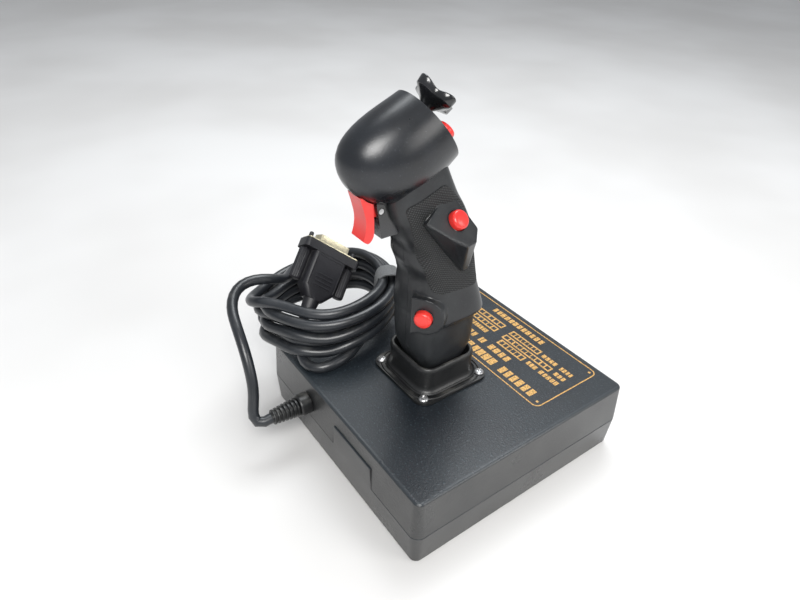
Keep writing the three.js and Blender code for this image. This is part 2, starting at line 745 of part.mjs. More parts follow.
function connectorHood() {
  const neck = loft([
    squareRing(13, 11, 4, 0),
    squareRing(24, 14, 4, 7),
    squareRing(24.5, 15, 3, 30),
    squareRing(24.5, 15, 3, 31),
  ]);
  const plate = prism(roundedSquare(41, 15.5, 3), 30, hoodHeight);
  const tail = bar(4.6, -8, 2, [0, 0, 0], upward, 16, 5.8);
  let hood = join(neck, plate, tail);
  for (const side of [-1, 1]) hood = cut(hood, bar(2, 25, 45, [(side * screwPitch) / 2, 0, 0], upward, 10));
  return hood;
}

function connectorShell() {
  const flange = prism(roundedSquare(39.1, 12.5, 2), hoodHeight + gap, hoodHeight + gap + 0.8);
  let shell = join(flange, prism(dOutline(25.25, 8.36, 1.6, 1.4), hoodHeight + 0.6, hoodHeight + 6.2));
  shell = cut(shell, prism(dOutline(24.25, 7.36, 1.4, 1.3), hoodHeight + 2.2, hoodHeight + 8));
  for (const side of [-1, 1]) shell = cut(shell, bar(2, 25, 45, [(side * screwPitch) / 2, 0, 0], upward, 10));
  return shell;
}

function jackScrew(side) {
  const at = [(side * screwPitch) / 2, 0, 0];
  const profile = [[0, 8], [3.2, 8], [3.8, 9], [3.8, 29.4], [1.5, 29.6], [1.5, 41], [0, 41.6]];
  return turned(profile, at, upward, 12);
}

piece("connector_hood", inHood(connectorHood()), hoodBlack);
piece("connector_shell", inHood(connectorShell()), zincSteel);
piece("pin_insert", inHood(prism(dOutline(23.4, 6.5, 1.3, 1.2), hoodHeight + 2.5, hoodHeight + 3.6)), nylonWhite);
piece("jack_screw_1", inHood(jackScrew(1)), hoodBlack);
piece("jack_screw_2", inHood(jackScrew(-1)), hoodBlack);

// The strap that ties the turns together, on the side towards the stick.
const strapSide = [-0.438, -0.899];
function cableStrap() {
  const direction = new THREE.Vector3(strapSide[0], strapSide[1], 0);
  const [low, high] = [58, coilTop + 2.4];
  const outer = roundedSquare(coilOuter - coilInner + 4.4, high - low, 3);
  const inner = roundedSquare(coilOuter - coilInner + 2.2, high - low + 8, 2);
  const band = cut(prism(outer, -6, 6), prism(inner, -10, 10, [0, -5.2, 0]));
  const turn = new THREE.Matrix4().makeBasis(
    direction,
    new THREE.Vector3(0, 0, 1),
    direction.clone().cross(new THREE.Vector3(0, 0, 1)),
  );
  const middle = (coilInner + coilOuter) / 2;
  turn.setPosition(coilCentre[0] + strapSide[0] * middle, coilCentre[1] + strapSide[1] * middle, (low + high) / 2);
  return solid(geometryOf(band).applyMatrix4(turn));
}
piece("cable_strap", cableStrap(), strapGrey);

export default root;
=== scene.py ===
import math
import random

import bmesh
import bpy
import numpy as np
from mathutils import Matrix, Vector


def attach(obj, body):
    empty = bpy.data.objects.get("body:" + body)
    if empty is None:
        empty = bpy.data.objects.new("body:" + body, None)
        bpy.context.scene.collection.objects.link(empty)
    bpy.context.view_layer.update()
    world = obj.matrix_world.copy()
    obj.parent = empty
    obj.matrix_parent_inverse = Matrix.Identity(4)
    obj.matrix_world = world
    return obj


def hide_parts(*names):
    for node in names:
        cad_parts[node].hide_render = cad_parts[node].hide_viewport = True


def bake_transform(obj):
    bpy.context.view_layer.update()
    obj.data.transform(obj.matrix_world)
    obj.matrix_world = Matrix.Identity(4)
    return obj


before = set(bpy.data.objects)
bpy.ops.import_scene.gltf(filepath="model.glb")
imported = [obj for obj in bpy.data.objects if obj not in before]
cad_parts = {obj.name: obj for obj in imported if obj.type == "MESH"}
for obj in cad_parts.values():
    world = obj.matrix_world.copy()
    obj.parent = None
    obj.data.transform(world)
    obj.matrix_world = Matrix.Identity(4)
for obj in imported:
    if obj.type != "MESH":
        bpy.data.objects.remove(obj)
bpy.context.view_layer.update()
mm = 0.001
print("frame loaded:", len(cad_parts), "nodes")


# camera

view = {
    "place": (-0.22864, 0.20828, 0.30981),
    "heading": -36.9,  # degrees from +X, looking down on the plan
    "dip": 34.59,
    "roll": 2.19,
    "lens": 27.73,
}


def linked(name, data):
    piece = bpy.data.objects.new(name, data)
    bpy.context.collection.objects.link(piece)
    return piece


def aimCamera():
    heading, dip, roll = (math.radians(view[name]) for name in ("heading", "dip", "roll"))
    forward = Vector((math.cos(dip) * math.cos(heading), math.cos(dip) * math.sin(heading), -math.sin(dip)))
    level = forward.cross(Vector((0, 0, 1))).normalized()
    right = Matrix.Rotation(-roll, 3, forward) @ level
    up = right.cross(forward)
    lens = bpy.data.cameras.new("camera")
    lens.lens = view["lens"]
    lens.clip_start = 0.01
    camera = linked("camera", lens)
    turn = Matrix((right, up, -forward)).transposed().to_4x4()
    camera.matrix_world = Matrix.Translation(view["place"]) @ turn
    bpy.context.scene.camera = camera


aimCamera()


# shader maths

class Wire:
    def __init__(self, paint, socket):
        self.paint = paint
        self.socket = socket

    def maths(self, operation, *others):
        inputs = dict(enumerate((self,) + others))
        return self.paint.node("ShaderNodeMath", {"operation": operation}, inputs)

    def __add__(self, other):
        return self.maths("ADD", other)

    def __mul__(self, other):
        return self.maths("MULTIPLY", other)

    def __sub__(self, other):
        return self.maths("SUBTRACT", other)

    def __rsub__(self, other):
        return (self * -1) + other

    def __truediv__(self, other):
        return self.maths("DIVIDE", other)

    def __gt__(self, other):
        return self.maths("GREATER_THAN", other)

    __radd__ = __add__
    __rmul__ = __mul__

    def fade(self, low, high, start=0.0, end=1.0):
        inputs = {"Value": self, "From Min": low, "From Max": high, "To Min": start, "To Max": end}
        return self.paint.node("ShaderNodeMapRange", {"interpolation_type": "SMOOTHSTEP"}, inputs)


class Paint:
    def __init__(self, name):
        self.material = bpy.data.materials.new(name)
        self.material.use_nodes = True
        self.tree = self.material.node_tree
        self.shader = self.tree.nodes["Principled BSDF"]

    def node(self, kind, settings=None, inputs=None, output=0):
        made = self.tree.nodes.new(kind)
        for name, value in (settings or {}).items():
            setattr(made, name, value)
        for name, value in (inputs or {}).items():
            self.feed(made.inputs[name], value)
        return Wire(self, made.outputs[output])

    def feed(self, socket, value):
        if isinstance(value, Wire):
            self.tree.links.new(value.socket, socket)
        else:
            socket.default_value = value

    def set(self, **values):
        for name, value in values.items():
            self.feed(self.shader.inputs[name.replace("_", " ")], value)

    def place(self):
        return self.node("ShaderNodeTexCoord", output="Object")

    def split(self, vector):
        made = self.tree.nodes.new("ShaderNodeSeparateXYZ")
        self.tree.links.new(vector.socket, made.inputs[0])
        return [Wire(self, made.outputs[axis]) for axis in "XYZ"]

    def noise(self, vector, size, detail=2.0, roughness=0.5):
        inputs = {"Vector": vector, "Scale": 1 / size, "Detail": detail, "Roughness": roughness}
        return self.node("ShaderNodeTexNoise", {}, inputs)

    def blend(self, factor, first, second):
        first = first if isinstance(first, Wire) else (*first, 1)
        second = second if isinstance(second, Wire) else (*second, 1)
        settings = {"data_type": "RGBA"}
        return self.node("ShaderNodeMix", settings, {0: factor, 6: first, 7: second}, output=2)

    def bump(self, height, distance, strength=1.0, normal=None):
        inputs = {"Height": height, "Distance": distance, "Strength": strength}
        if normal:
            inputs["Normal"] = normal
        return self.node("ShaderNodeBump", {}, inputs)

    def facingUp(self):
        return self.split(self.node("ShaderNodeTexCoord", output="Normal"))[2]


# What every moulded finish has, unless its own look says otherwise.
plainLook = {
    "broad": 0.03, "grainDetail": 3, "paintedGlint": 0.2, "paintedGlintFrom": 0.62, "paintedGlintSpread": 0.16,
    "paintedGlintColour": (0.6, 0.62, 0.66), "dustColour": (0.45, 0.44, 0.4), "dustSize": 11 * mm,
    "roughSpread": 0.05, "depth": 0.1, "coat": 0.0, "coatRough": 0.2,
    "scratchSize": 3.5 * mm, "scratchDepth": 0.02 * mm, "scratchStrength": 0.25,
}


# A moulded finish: broad tone, a fine grain with its bump, painted glints of light on the grain's peaks, and
# dust on level faces.
def moulded(name, look):
    look = {**plainLook, **look}
    paint = Paint(name)
    place = paint.place()
    broad = paint.noise(place, look["broad"], 4)
    tone = paint.blend(broad.fade(0.35, 0.65), look["colour"], look["second"])
    grain = paint.noise(place, look["grain"], look["grainDetail"], 0.7)
    # Lighter colour where the grain stands highest: painted glints of light on the grain's peaks.
    paintedGlint = grain.fade(look["paintedGlintFrom"], look["paintedGlintFrom"] + look["paintedGlintSpread"])
    tone = paint.blend(paintedGlint * look["paintedGlint"], tone, look["paintedGlintColour"])
    if "dust" in look:
        level = paint.facingUp().fade(0.55, 1.0)
        smear = paint.noise(place, look["dustSize"], 5, 0.65).fade(0.42, 0.75)
        tone = paint.blend(level * smear * look["dust"], tone, look["dustColour"])
    rough = broad.fade(0.2, 0.8, look["rough"] - look["roughSpread"], look["rough"] + 0.04)
    scratches = paint.noise(place, look["scratchSize"], 6, 0.75).fade(0.3, 0.75)
    normal = paint.bump(grain, look["depth"] * mm, 0.8)
    normal = paint.bump(scratches, look["scratchDepth"], look["scratchStrength"], normal)
    paint.set(Base_Color=tone, Roughness=rough, Normal=normal)
    paint.set(Coat_Weight=look["coat"], Coat_Roughness=look["coatRough"])
    return paint


def basePlastic():
    look = {
        "colour": (0.008, 0.011, 0.015), "second": (0.013, 0.018, 0.023), "grain": 1.3 * mm, "rough": 0.36,
        "paintedGlint": 0.5, "paintedGlintFrom": 0.55, "paintedGlintColour": (0.08, 0.11, 0.13), "depth": 0.3, "broad": 0.05,
        "coat": 0.15,
    }
    rim = 78.7 * mm  # the smooth band round the top starts here
    paint = moulded("base plastic", look)
    place = paint.place()
    x, y, z = paint.split(place)
    reach = x.maths("ABSOLUTE").maths("MAXIMUM", y.maths("ABSOLUTE"))
    # The sides are satin, smoother than the grained top; their lighter grey is painted light falling on them
    # from the front.
    side = 1 - paint.facingUp().maths("ABSOLUTE").fade(0.3, 0.8)
    band = (reach > rim) * (1 - side)
    tone = Wire(paint, paint.shader.inputs["Base Color"].links[0].from_socket)
    drift = paint.noise(place, 0.02, 4).fade(0.3, 0.7)
    litSideTone = paint.blend(drift, (0.024, 0.025, 0.026), (0.037, 0.038, 0.038))
    tone = paint.blend(band, tone, (0.03, 0.036, 0.042))
    tone = paint.blend(side, tone, litSideTone)
    rough = Wire(paint, paint.shader.inputs["Roughness"].links[0].from_socket)
    rough = rough + band * -0.08 + side * -0.06
    paint.set(Base_Color=tone, Roughness=rough)
    return paint


def labelGold():
    paint = Paint("label gold")
    place = paint.place()
    wear = paint.noise(place, 1.1 * mm, 4, 0.7).fade(0.36, 0.6)
    tone = paint.blend(wear, (0.26, 0.15, 0.04), (0.72, 0.42, 0.13))
    paint.set(Base_Color=tone, Roughness=wear.fade(0, 1, 0.6, 0.38), Normal=paint.bump(wear, 0.02 * mm))
    return paint


def checkeredPanel():
    paint = Paint("checkered panel")
    place = paint.place()
    x, y, z = paint.split(place)
    pitch = 1.25 * mm
    rows = (z * 1.0 + y * -0.35) / pitch * math.tau
    columns = (y + z * 0.35) / pitch * math.tau
    studs = rows.maths("SINE").maths("MAXIMUM", columns.maths("SINE") * 0.9)
    grid = (rows.maths("SINE") + 1) * (columns.maths("SINE") + 1) * 0.25
    # Lighter on the studs' tops and darker in the grooves between them: painted highlight and painted shade.
    tone = paint.blend(grid.fade(0.1, 0.7), (0.008, 0.009, 0.01), (0.042, 0.044, 0.046))
    drift = paint.noise(place, 0.012, 4).fade(0.3, 0.7)
    tone = paint.blend(drift * 0.3, tone, (0.026, 0.026, 0.025))
    normal = paint.bump(grid + studs * 0.1, 0.35 * mm, 0.9)
    paint.set(Base_Color=tone, Roughness=grid.fade(0, 1, 0.75, 0.5), Normal=normal)
    return paint


def wovenStrap():
    paint = Paint("woven strap")
    place = paint.place()
    x, y, z = paint.split(place)
    pitch = 0.7 * mm
    across = ((x * 0.8 - y * 0.6) / pitch * math.tau).maths("SINE")
    weave = across * (z / pitch * math.tau).maths("SINE")
    # Lighter on the raised threads and darker where the weave dips: painted highlight and painted shade.
    tone = paint.blend(weave.fade(-1, 1), (0.1, 0.105, 0.11), (0.2, 0.205, 0.21))
    fuzz = paint.noise(place, 0.6 * mm, 4)
    tone = paint.blend(fuzz.fade(0.4, 0.7) * 0.3, tone, (0.33, 0.34, 0.35))
    normal = paint.bump(weave + fuzz, 0.15 * mm)
    paint.set(Base_Color=tone, Roughness=fuzz.fade(0, 1, 0.7, 0.95), Normal=normal, Sheen_Weight=0.3)
    return paint


def brushed(name, colour, second, rough):
    paint = Paint(name)
    place = paint.place()
    stretched = paint.node("ShaderNodeMapping", {}, {"Vector": place, "Scale": (1, 1, 14)})
    lines = paint.noise(stretched, 1.2 * mm, 4, 0.7)
    stain = paint.noise(place, 5 * mm, 4).fade(0.45, 0.7)
    tone = paint.blend(stain, colour, second)
    paint.set(Base_Color=tone, Metallic=0.9, Roughness=lines.fade(0.3, 0.7, rough - 0.08, rough + 0.1))
    paint.set(Normal=paint.bump(lines, 0.02 * mm, 0.5))
    return paint


def paleFloor():
    paint = Paint("pale floor")
    place = paint.place()
    drift = paint.noise(place, 0.35, 3).fade(0.3, 0.7)
    tone = paint.blend(drift, (0.7, 0.69, 0.68), (0.78, 0.775, 0.77))
    paint.set(Base_Color=tone, Roughness=drift.fade(0, 1, 0.6, 0.7))
    return paint


finishes = {
    "base": basePlastic(),
    "grip": moulded("grip plastic", {
        "colour": (0.012, 0.013, 0.015), "second": (0.02, 0.022, 0.024), "grain": 0.7 * mm, "rough": 0.36,
        "paintedGlint": 0.12, "depth": 0.06, "dust": 0.12, "broad": 0.02,
    }),
    "head": moulded("head plastic", {
        "colour": (0.005, 0.006, 0.008), "second": (0.011, 0.013, 0.017), "grain": 0.9 * mm, "rough": 0.3,
        "paintedGlint": 0.3, "paintedGlintColour": (0.2, 0.24, 0.28), "depth": 0.05, "coat": 0.25, "coatRough": 0.3,
    }),
    "gloss": moulded("gloss plastic", {
        "colour": (0.005, 0.0055, 0.006), "second": (0.016, 0.017, 0.02), "grain": 1.2 * mm, "rough": 0.2,
        "paintedGlint": 0.03, "depth": 0.02, "coat": 0.5, "coatRough": 0.12,
    }),
    "red": moulded("red plastic", {
        "colour": (0.7, 0.02, 0.018), "second": (0.8, 0.04, 0.03), "grain": 0.8 * mm, "rough": 0.33,
        "paintedGlint": 0.06, "paintedGlintColour": (1, 0.5, 0.4), "depth": 0.04, "coat": 0.35,
    }),
    "boot": moulded("boot rubber", {
        "colour": (0.006, 0.0065, 0.007), "second": (0.011, 0.0115, 0.012), "grain": 0.8 * mm, "rough": 0.42,
        "paintedGlint": 0.08, "depth": 0.07, "dust": 0.16, "coat": 0.2, "coatRough": 0.35,
    }),
    "cord": moulded("cord jacket", {
        "colour": (0.01, 0.012, 0.015), "second": (0.018, 0.021, 0.026), "grain": 1.1 * mm, "rough": 0.36,
        "paintedGlint": 0.08, "depth": 0.04, "coat": 0.3, "coatRough": 0.3, "dust": 0.08,
    }),
    "hood": moulded("hood plastic", {
        "colour": (0.011, 0.011, 0.014), "second": (0.019, 0.019, 0.023), "grain": 0.7 * mm, "rough": 0.46,
        "paintedGlint": 0.16, "depth": 0.08,
    }),
    "nylon": moulded("nylon", {
        "colour": (0.68, 0.65, 0.57), "second": (0.76, 0.74, 0.67), "grain": 0.9 * mm, "rough": 0.45,
        "paintedGlint": 0.05, "depth": 0.04,
    }),
    "board": moulded("circuit board", {
        "colour": (0.02, 0.1, 0.045), "second": (0.03, 0.14, 0.06), "grain": 1.5 * mm, "rough": 0.4,
        "paintedGlint": 0.2, "depth": 0.05,
    }),
    "panel": checkeredPanel(),
    "strap": wovenStrap(),
    "steel": brushed("zinc steel", (0.6, 0.6, 0.6), (0.42, 0.42, 0.43), 0.34),
    "yellowSteel": brushed("yellow steel", (0.72, 0.66, 0.48), (0.5, 0.46, 0.34), 0.36),
    "gold": labelGold(),
    "floor": paleFloor(),
}
print("finishes:", len(finishes))


# ways of making a piece


def workOn(*meshes):
    work = bmesh.new()
    for mesh in meshes:
        work.from_mesh(mesh)
    return work


def meshOf(work, mesh=None):
    made = mesh or bpy.data.meshes.new("made")
    work.to_mesh(made)
    work.free()
    return made


# Points that touch become one, and faces turn outwards.
def cleaned(mesh):
    work = workOn(mesh)
    bmesh.ops.remove_doubles(work, verts=work.verts, dist=0.002 * mm)
    bmesh.ops.recalc_face_normals(work, faces=work.faces)
    return meshOf(work, mesh)


def shown(name, mesh, finish, body, sharp=35, tidy=True):
    if tidy:
        cleaned(mesh)
    mesh.shade_smooth()
    mesh.set_sharp_from_angle(angle=math.radians(sharp))
    mesh.materials.clear()
    mesh.materials.append(finishes[finish].material)
    piece = linked(name, mesh)
    if body:
        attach(piece, body)
    return piece


# Points are in millimetres.
def solidOf(name, points, faces):
    mesh = bpy.data.meshes.new(name)
    mesh.from_pydata([Vector(point) * mm for point in points], [], faces)
    return cleaned(mesh)


def skin(rings, capStart=True, capEnd=True, looped=False):
    sides = len(rings[0])
    points = [point for ring in rings for point in ring]
    faces = []
    count = len(rings)
    for level in range(count if looped else count - 1):
        above = (level + 1) % count
        for i in range(sides):
            j = (i + 1) % sides
            faces.append((level * sides + i, level * sides + j, above * sides + j, above * sides + i))
    if capStart and not looped:
        faces.append(tuple(reversed(range(sides))))
    if capEnd and not looped:
        faces.append(tuple(range((count - 1) * sides, count * sides)))
    return points, faces


def along(at, direction):
    turn = Vector(direction).normalized().to_track_quat("Z", "X").to_matrix().to_4x4()
    return Matrix.Translation(at) @ turn


# A profile of (radius, height) points spun round an axis.
def spun(profile, at=(0, 0, 0), direction=(0, 0, 1), sides=64, wave=None):
    place = along(at, direction)
    rings = []
    for radius, height in profile:
        ring = []
        for i in range(sides):
            angle = math.tau * i / sides
            reach = radius * (1 + (wave(angle, height) if wave else 0))
            ring.append(place @ Vector((reach * math.cos(angle), reach * math.sin(angle), height)))
        rings.append(ring)
    capStart = profile[0][0] > 0
    capEnd = profile[-1][0] > 0
    return skin(rings, capStart, capEnd)


# Corners of an open profile turned into short curves.
def eased(profile, ease, steps=4):
    made = [profile[0]]
    for before, corner, after in zip(profile, profile[1:], profile[2:]):
        before, corner, after = Vector(before), Vector(corner), Vector(after)
        start = corner + (before - corner).normalized() * min(ease, (before - corner).length / 2)
        end = corner + (after - corner).normalized() * min(ease, (after - corner).length / 2)
        for step in range(steps + 1):
            part = step / steps
            made.append(tuple(start * (1 - part) ** 2 + corner * 2 * part * (1 - part) + end * part ** 2))
    made.append(profile[-1])
    return made


def roundedRing(halfX, halfY, radius, z, centre, steps=8):
    ring = []
    for corner in range(4):
        middle = math.pi / 4 + corner * math.pi / 2
        signX = 1 if math.cos(middle) > 0 else -1
        signY = 1 if math.sin(middle) > 0 else -1
        for step in range(steps + 1):
            angle = corner * math.pi / 2 + math.pi / 2 * step / steps
            x = centre[0] + signX * (halfX - radius) + radius * math.cos(angle)
            y = centre[1] + signY * (halfY - radius) + radius * math.sin(angle)
            ring.append(Vector((x, y, z)))
    return ring


def evaluated(piece):
    graph = bpy.context.evaluated_depsgraph_get()
    mesh = bpy.data.meshes.new_from_object(piece.evaluated_get(graph))
    bpy.data.objects.remove(piece)
    return mesh


def combined(mesh, tools, operation="DIFFERENCE"):
    piece = linked("spare", mesh)
    helpers = [linked("spare", tool) for tool in tools]
    for helper in helpers:
        cutter = piece.modifiers.new("cut", "BOOLEAN")
        cutter.operation = operation
        cutter.solver = "EXACT"
        cutter.object = helper
    made = evaluated(piece)
    for helper in helpers:
        bpy.data.objects.remove(helper)
    return made


def remeshed(mesh, voxel, smoothing):
    piece = linked("spare", mesh)
    remesh = piece.modifiers.new("remesh", "REMESH")
    remesh.mode = "VOXEL"
    remesh.voxel_size = voxel * mm
    smooth = piece.modifiers.new("smooth", "SMOOTH")
    smooth.factor = 0.5
    smooth.iterations = smoothing
    return evaluated(piece)


# What lies on one side of a plane, closed where it is cut.
def bisected(mesh, at, normal):
    work = workOn(mesh)
    parts = work.verts[:] + work.edges[:] + work.faces[:]
    where = {"plane_co": Vector(at) * mm, "plane_no": normal}
    cut = bmesh.ops.bisect_plane(work, geom=parts, clear_outer=True, **where)
    edges = [part for part in cut["geom_cut"] if isinstance(part, bmesh.types.BMEdge)]
    bmesh.ops.holes_fill(work, edges=edges, sides=0)
    return meshOf(work)


def bevelled(piece, width, segments=3, angle=35):
    bevel = piece.modifiers.new("bevel", "BEVEL")
    bevel.width = width * mm
    bevel.segments = segments
    bevel.limit_method = "ANGLE"
    bevel.angle_limit = math.radians(angle)
    bevel.harden_normals = True
    return piece


def copyOf(node):
    work = workOn(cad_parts[node].data)
    bmesh.ops.remove_doubles(work, verts=work.verts, dist=0.005 * mm)
    bmesh.ops.dissolve_limit(work, angle_limit=math.radians(2), verts=work.verts, edges=work.edges)
    bmesh.ops.recalc_face_normals(work, faces=work.faces)
    return meshOf(work)


# A CAD solid with its edges rounded.
def softened(node, finish, body, width=0.5, segments=3):
    piece = shown(node + "_soft", copyOf(node), finish, body, tidy=False)
    bevelled(piece, width, segments)
    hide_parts(node)
    return piece


# Copies of one shape on a list of places, made by Geometry Nodes.
def repeatTree():
    tree = bpy.data.node_groups.new("repeat on places", "GeometryNodeTree")
    sockets = [("Places", "Geometry"), ("Shape", "Object"), ("Finish", "Material")]
    for name, kind in sockets:
        tree.interface.new_socket(name=name, in_out="INPUT", socket_type="NodeSocket" + kind)
    tree.interface.new_socket(name="Made", in_out="OUTPUT", socket_type="NodeSocketGeometry")
    add = tree.nodes.new
    start, end = add("NodeGroupInput"), add("NodeGroupOutput")
    shape, scatter = add("GeometryNodeObjectInfo"), add("GeometryNodeInstanceOnPoints")
    size, turn = add("GeometryNodeInputNamedAttribute"), add("GeometryNodeInputNamedAttribute")
    realize, finish = add("GeometryNodeRealizeInstances"), add("GeometryNodeSetMaterial")
    for node, name in ((size, "size"), (turn, "turn")):
        node.data_type = "FLOAT_VECTOR"
        node.inputs["Name"].default_value = name
    link = tree.links.new
    link(start.outputs["Shape"], shape.inputs["Object"])
    link(start.outputs["Places"], scatter.inputs["Points"])
    link(shape.outputs["Geometry"], scatter.inputs["Instance"])
    link(size.outputs["Attribute"], scatter.inputs["Scale"])
    link(turn.outputs["Attribute"], scatter.inputs["Rotation"])
    link(scatter.outputs["Instances"], realize.inputs["Geometry"])
    link(realize.outputs["Geometry"], finish.inputs["Geometry"])
    link(start.outputs["Finish"], finish.inputs["Material"])
    link(finish.outputs["Geometry"], end.inputs["Made"])
    return tree


repeater = repeatTree()


def repeated(name, shape, places, finish, body, sharp=35):
    points = bpy.data.meshes.new(name + " places")
    points.from_pydata([Vector(at) * mm for at, turn, size in places], [], [])
    turns = points.attributes.new("turn", "FLOAT_VECTOR", "POINT")
    sizes = points.attributes.new("size", "FLOAT_VECTOR", "POINT")
    for i, (at, turn, size) in enumerate(places):
        turns.data[i].vector = turn
        sizes.data[i].vector = size
    model = linked("spare", shape)
    holder = linked("spare", points)
    modifier = holder.modifiers.new("repeat", "NODES")
    modifier.node_group = repeater
    wanted = {"Shape": model, "Finish": finishes[finish].material}
    for item in repeater.interface.items_tree:
        if item.in_out == "INPUT" and item.name in wanted:
            modifier[item.identifier] = wanted[item.name]
    made = evaluated(holder)
    bpy.data.objects.remove(model)
    return shown(name, made, finish, body, sharp)


def brick(sizeX, sizeY, sizeZ, ease=0.0):
    work = bmesh.new()
    bmesh.ops.create_cube(work, size=1)
    bmesh.ops.scale(work, vec=Vector((sizeX, sizeY, sizeZ)) * mm, verts=work.verts)
    if ease:
        bmesh.ops.bevel(work, geom=work.edges[:], offset=ease * mm, segments=2, affect="EDGES", profile=0.5)
    return meshOf(work)


# the lead: a listed route to the coil, turns by a loop, and a short tail into the connector

lead = {
    "diameter": 6.8,
    "exit": (31.5, 108.0, 33.3),
    "toCoil": [
        (31.5, 108, 33.3), (31.5, 112.4, 32.6), (32.6, 115.8, 31.6), (34.8, 117.4, 33.6), (36.8, 116.8, 39),
        (38.2, 115.2, 46), (41.4, 113.3, 55.9), (50.1, 111.8, 71.1), (63.6, 110, 82.1), (76, 107.4, 87.8),
        (84, 102.4, 92.2), (88.6, 94.6, 94.8), (88.4, 84.6, 95.4), (86.6, 75, 93.4), (91, 63, 87),
    ],
    "toConnector": [
        (41, 76, 53), (52, 76, 56), (59, 72.3, 63.5), (63.6, 66.6, 70.2), (66.3, 62.3, 74.1),
        (68.4, 59, 77.2),
    ],
    "centre": (72, 42),
    "turns": 7,
    "floor": 53.0,  # the height of a strand that lies on the base
    # heading in the plan, radius of the inner and the outer strands, height of the top strand, drop per turn
    "stations": [
        (-15, 36, 42.5, 84, 4.6), (-65, 37, 42.5, 91.5, 4.3), (-116, 36.5, 43, 89, 3.6),
        (-167, 32.5, 38.5, 87, 4.3), (-217, 34, 37.5, 84.8, 5.3), (-262, 36, 40.5, 85, 5.4),
        (-288, 44, 45, 80.5, 4.5), (-318, 43.5, 39.5, 74, 3.2),
    ],
    "wide": {-288: 7, -318: 4},  # how much wider the first turn is where it comes back
    "last": {"heading": -217, "radius": 47},
    "knots": 420,
}
# How the lead settles: forces are per round, in the same units as its points.
settle = {
    "rounds": 420, "spacing": 6.95, "push": 0.35, "skip": 8, "stiffness": 0.055, "stretch": 0.15,
    "hold": 0.025, "holdLead": 0.1, "holdEnd": 0.3, "most": 0.6, "baseEdge": 86,
}
connector = {
    "at": Vector((70, 56.4, 79.6)),
    "up": Vector((0.421, -0.667, 0.614)),
    "long": Vector((-0.313, -0.742, -0.593)),
    "screwPitch": 33.32,
    # the space that the strands keep out of, with half a strand added
    "neckTop": 5, "halfPlate": 24.3, "halfNeck": 10.3, "halfDepth": 11.6, "bottom": -4, "top": 45,
    "pinPitch": 2.74, "pinRow": 1.42, "pinFoot": 38.4, "pins": (8, 7),
    "pin": [(0, 0), (0.5, 0), (0.5, 3.2), (0.25, 3.7), (0, 3.75)],
    "screw": [
        (0, 8), (2.9, 8), (3.5, 8.5), (3.75, 9.2), (3.8, 28.2), (3.5, 29.1), (2.4, 29.4), (1.5, 29.8),
        (1.5, 40.8), (1.1, 41.5), (0, 41.6),
    ],
    "knurl": {"from": 9, "to": 28.5, "depth": 0.035, "count": 20},
    # a raised frame and ribs on each face: place along and up, place out, then the bar's size
    "ribs": [(0, 9 + 2.6 * i, 7.35, (13, 0.7, 0.9)) for i in range(4)],
    "frame": [
        (-9.6, 18, 7.4, (0.9, 0.6, 22)), (9.6, 18, 7.4, (0.9, 0.6, 22)), (0, 28.6, 7.4, (20, 0.6, 0.9)),
    ],
}


def connectorFrame():
    up = connector["up"].normalized()
    long = (connector["long"] - up * connector["long"].dot(up)).normalized()
    face = up.cross(long)
    turn = Matrix((long, face, up)).transposed().to_4x4()
    return Matrix.Translation(connector["at"]) @ turn


hoodPlace = connectorFrame()


def stationsOfCoil():
    stops = []
    for turn in range(lead["turns"]):
        for heading, inner, outer, top, drop in lead["stations"]:
            radius = outer if turn % 2 else inner
            height = max(top - drop * turn, lead["floor"])
            if turn == 0:
                radius += lead["wide"].get(heading, 0)
            if turn == lead["turns"] - 1 and heading == lead["last"]["heading"]:
                radius, height = lead["last"]["radius"], lead["floor"]
            stops.append((heading - 360 * turn, radius, height))
    last = lead["last"]["heading"] - 360 * (lead["turns"] - 1)
    return [stop for stop in stops if stop[0] >= last]


def smoothThrough(points, steps):
    points = [np.array(point, float) for point in points]
    made = []
    for i in range(len(points) - 1):
        p0, p1 = points[max(i - 1, 0)], points[i]
        p2, p3 = points[i + 1], points[min(i + 2, len(points) - 1)]
        for part in np.arange(steps) / steps:
            slope, curve, twist = p2 - p0, 2 * p0 - 5 * p1 + 4 * p2 - p3, 3 * p1 - p0 - 3 * p2 + p3
            made.append(0.5 * (2 * p1 + slope * part + curve * part ** 2 + twist * part ** 3))
    return np.array(made + [points[-1]])


def evenly(points, count):
    steps = np.linalg.norm(np.diff(points, axis=0), axis=1)
    run = np.concatenate([[0], np.cumsum(steps)])
    wanted = np.linspace(0, run[-1], count)
    return np.stack([np.interp(wanted, run, points[:, axis]) for axis in range(3)], 1), run[-1]


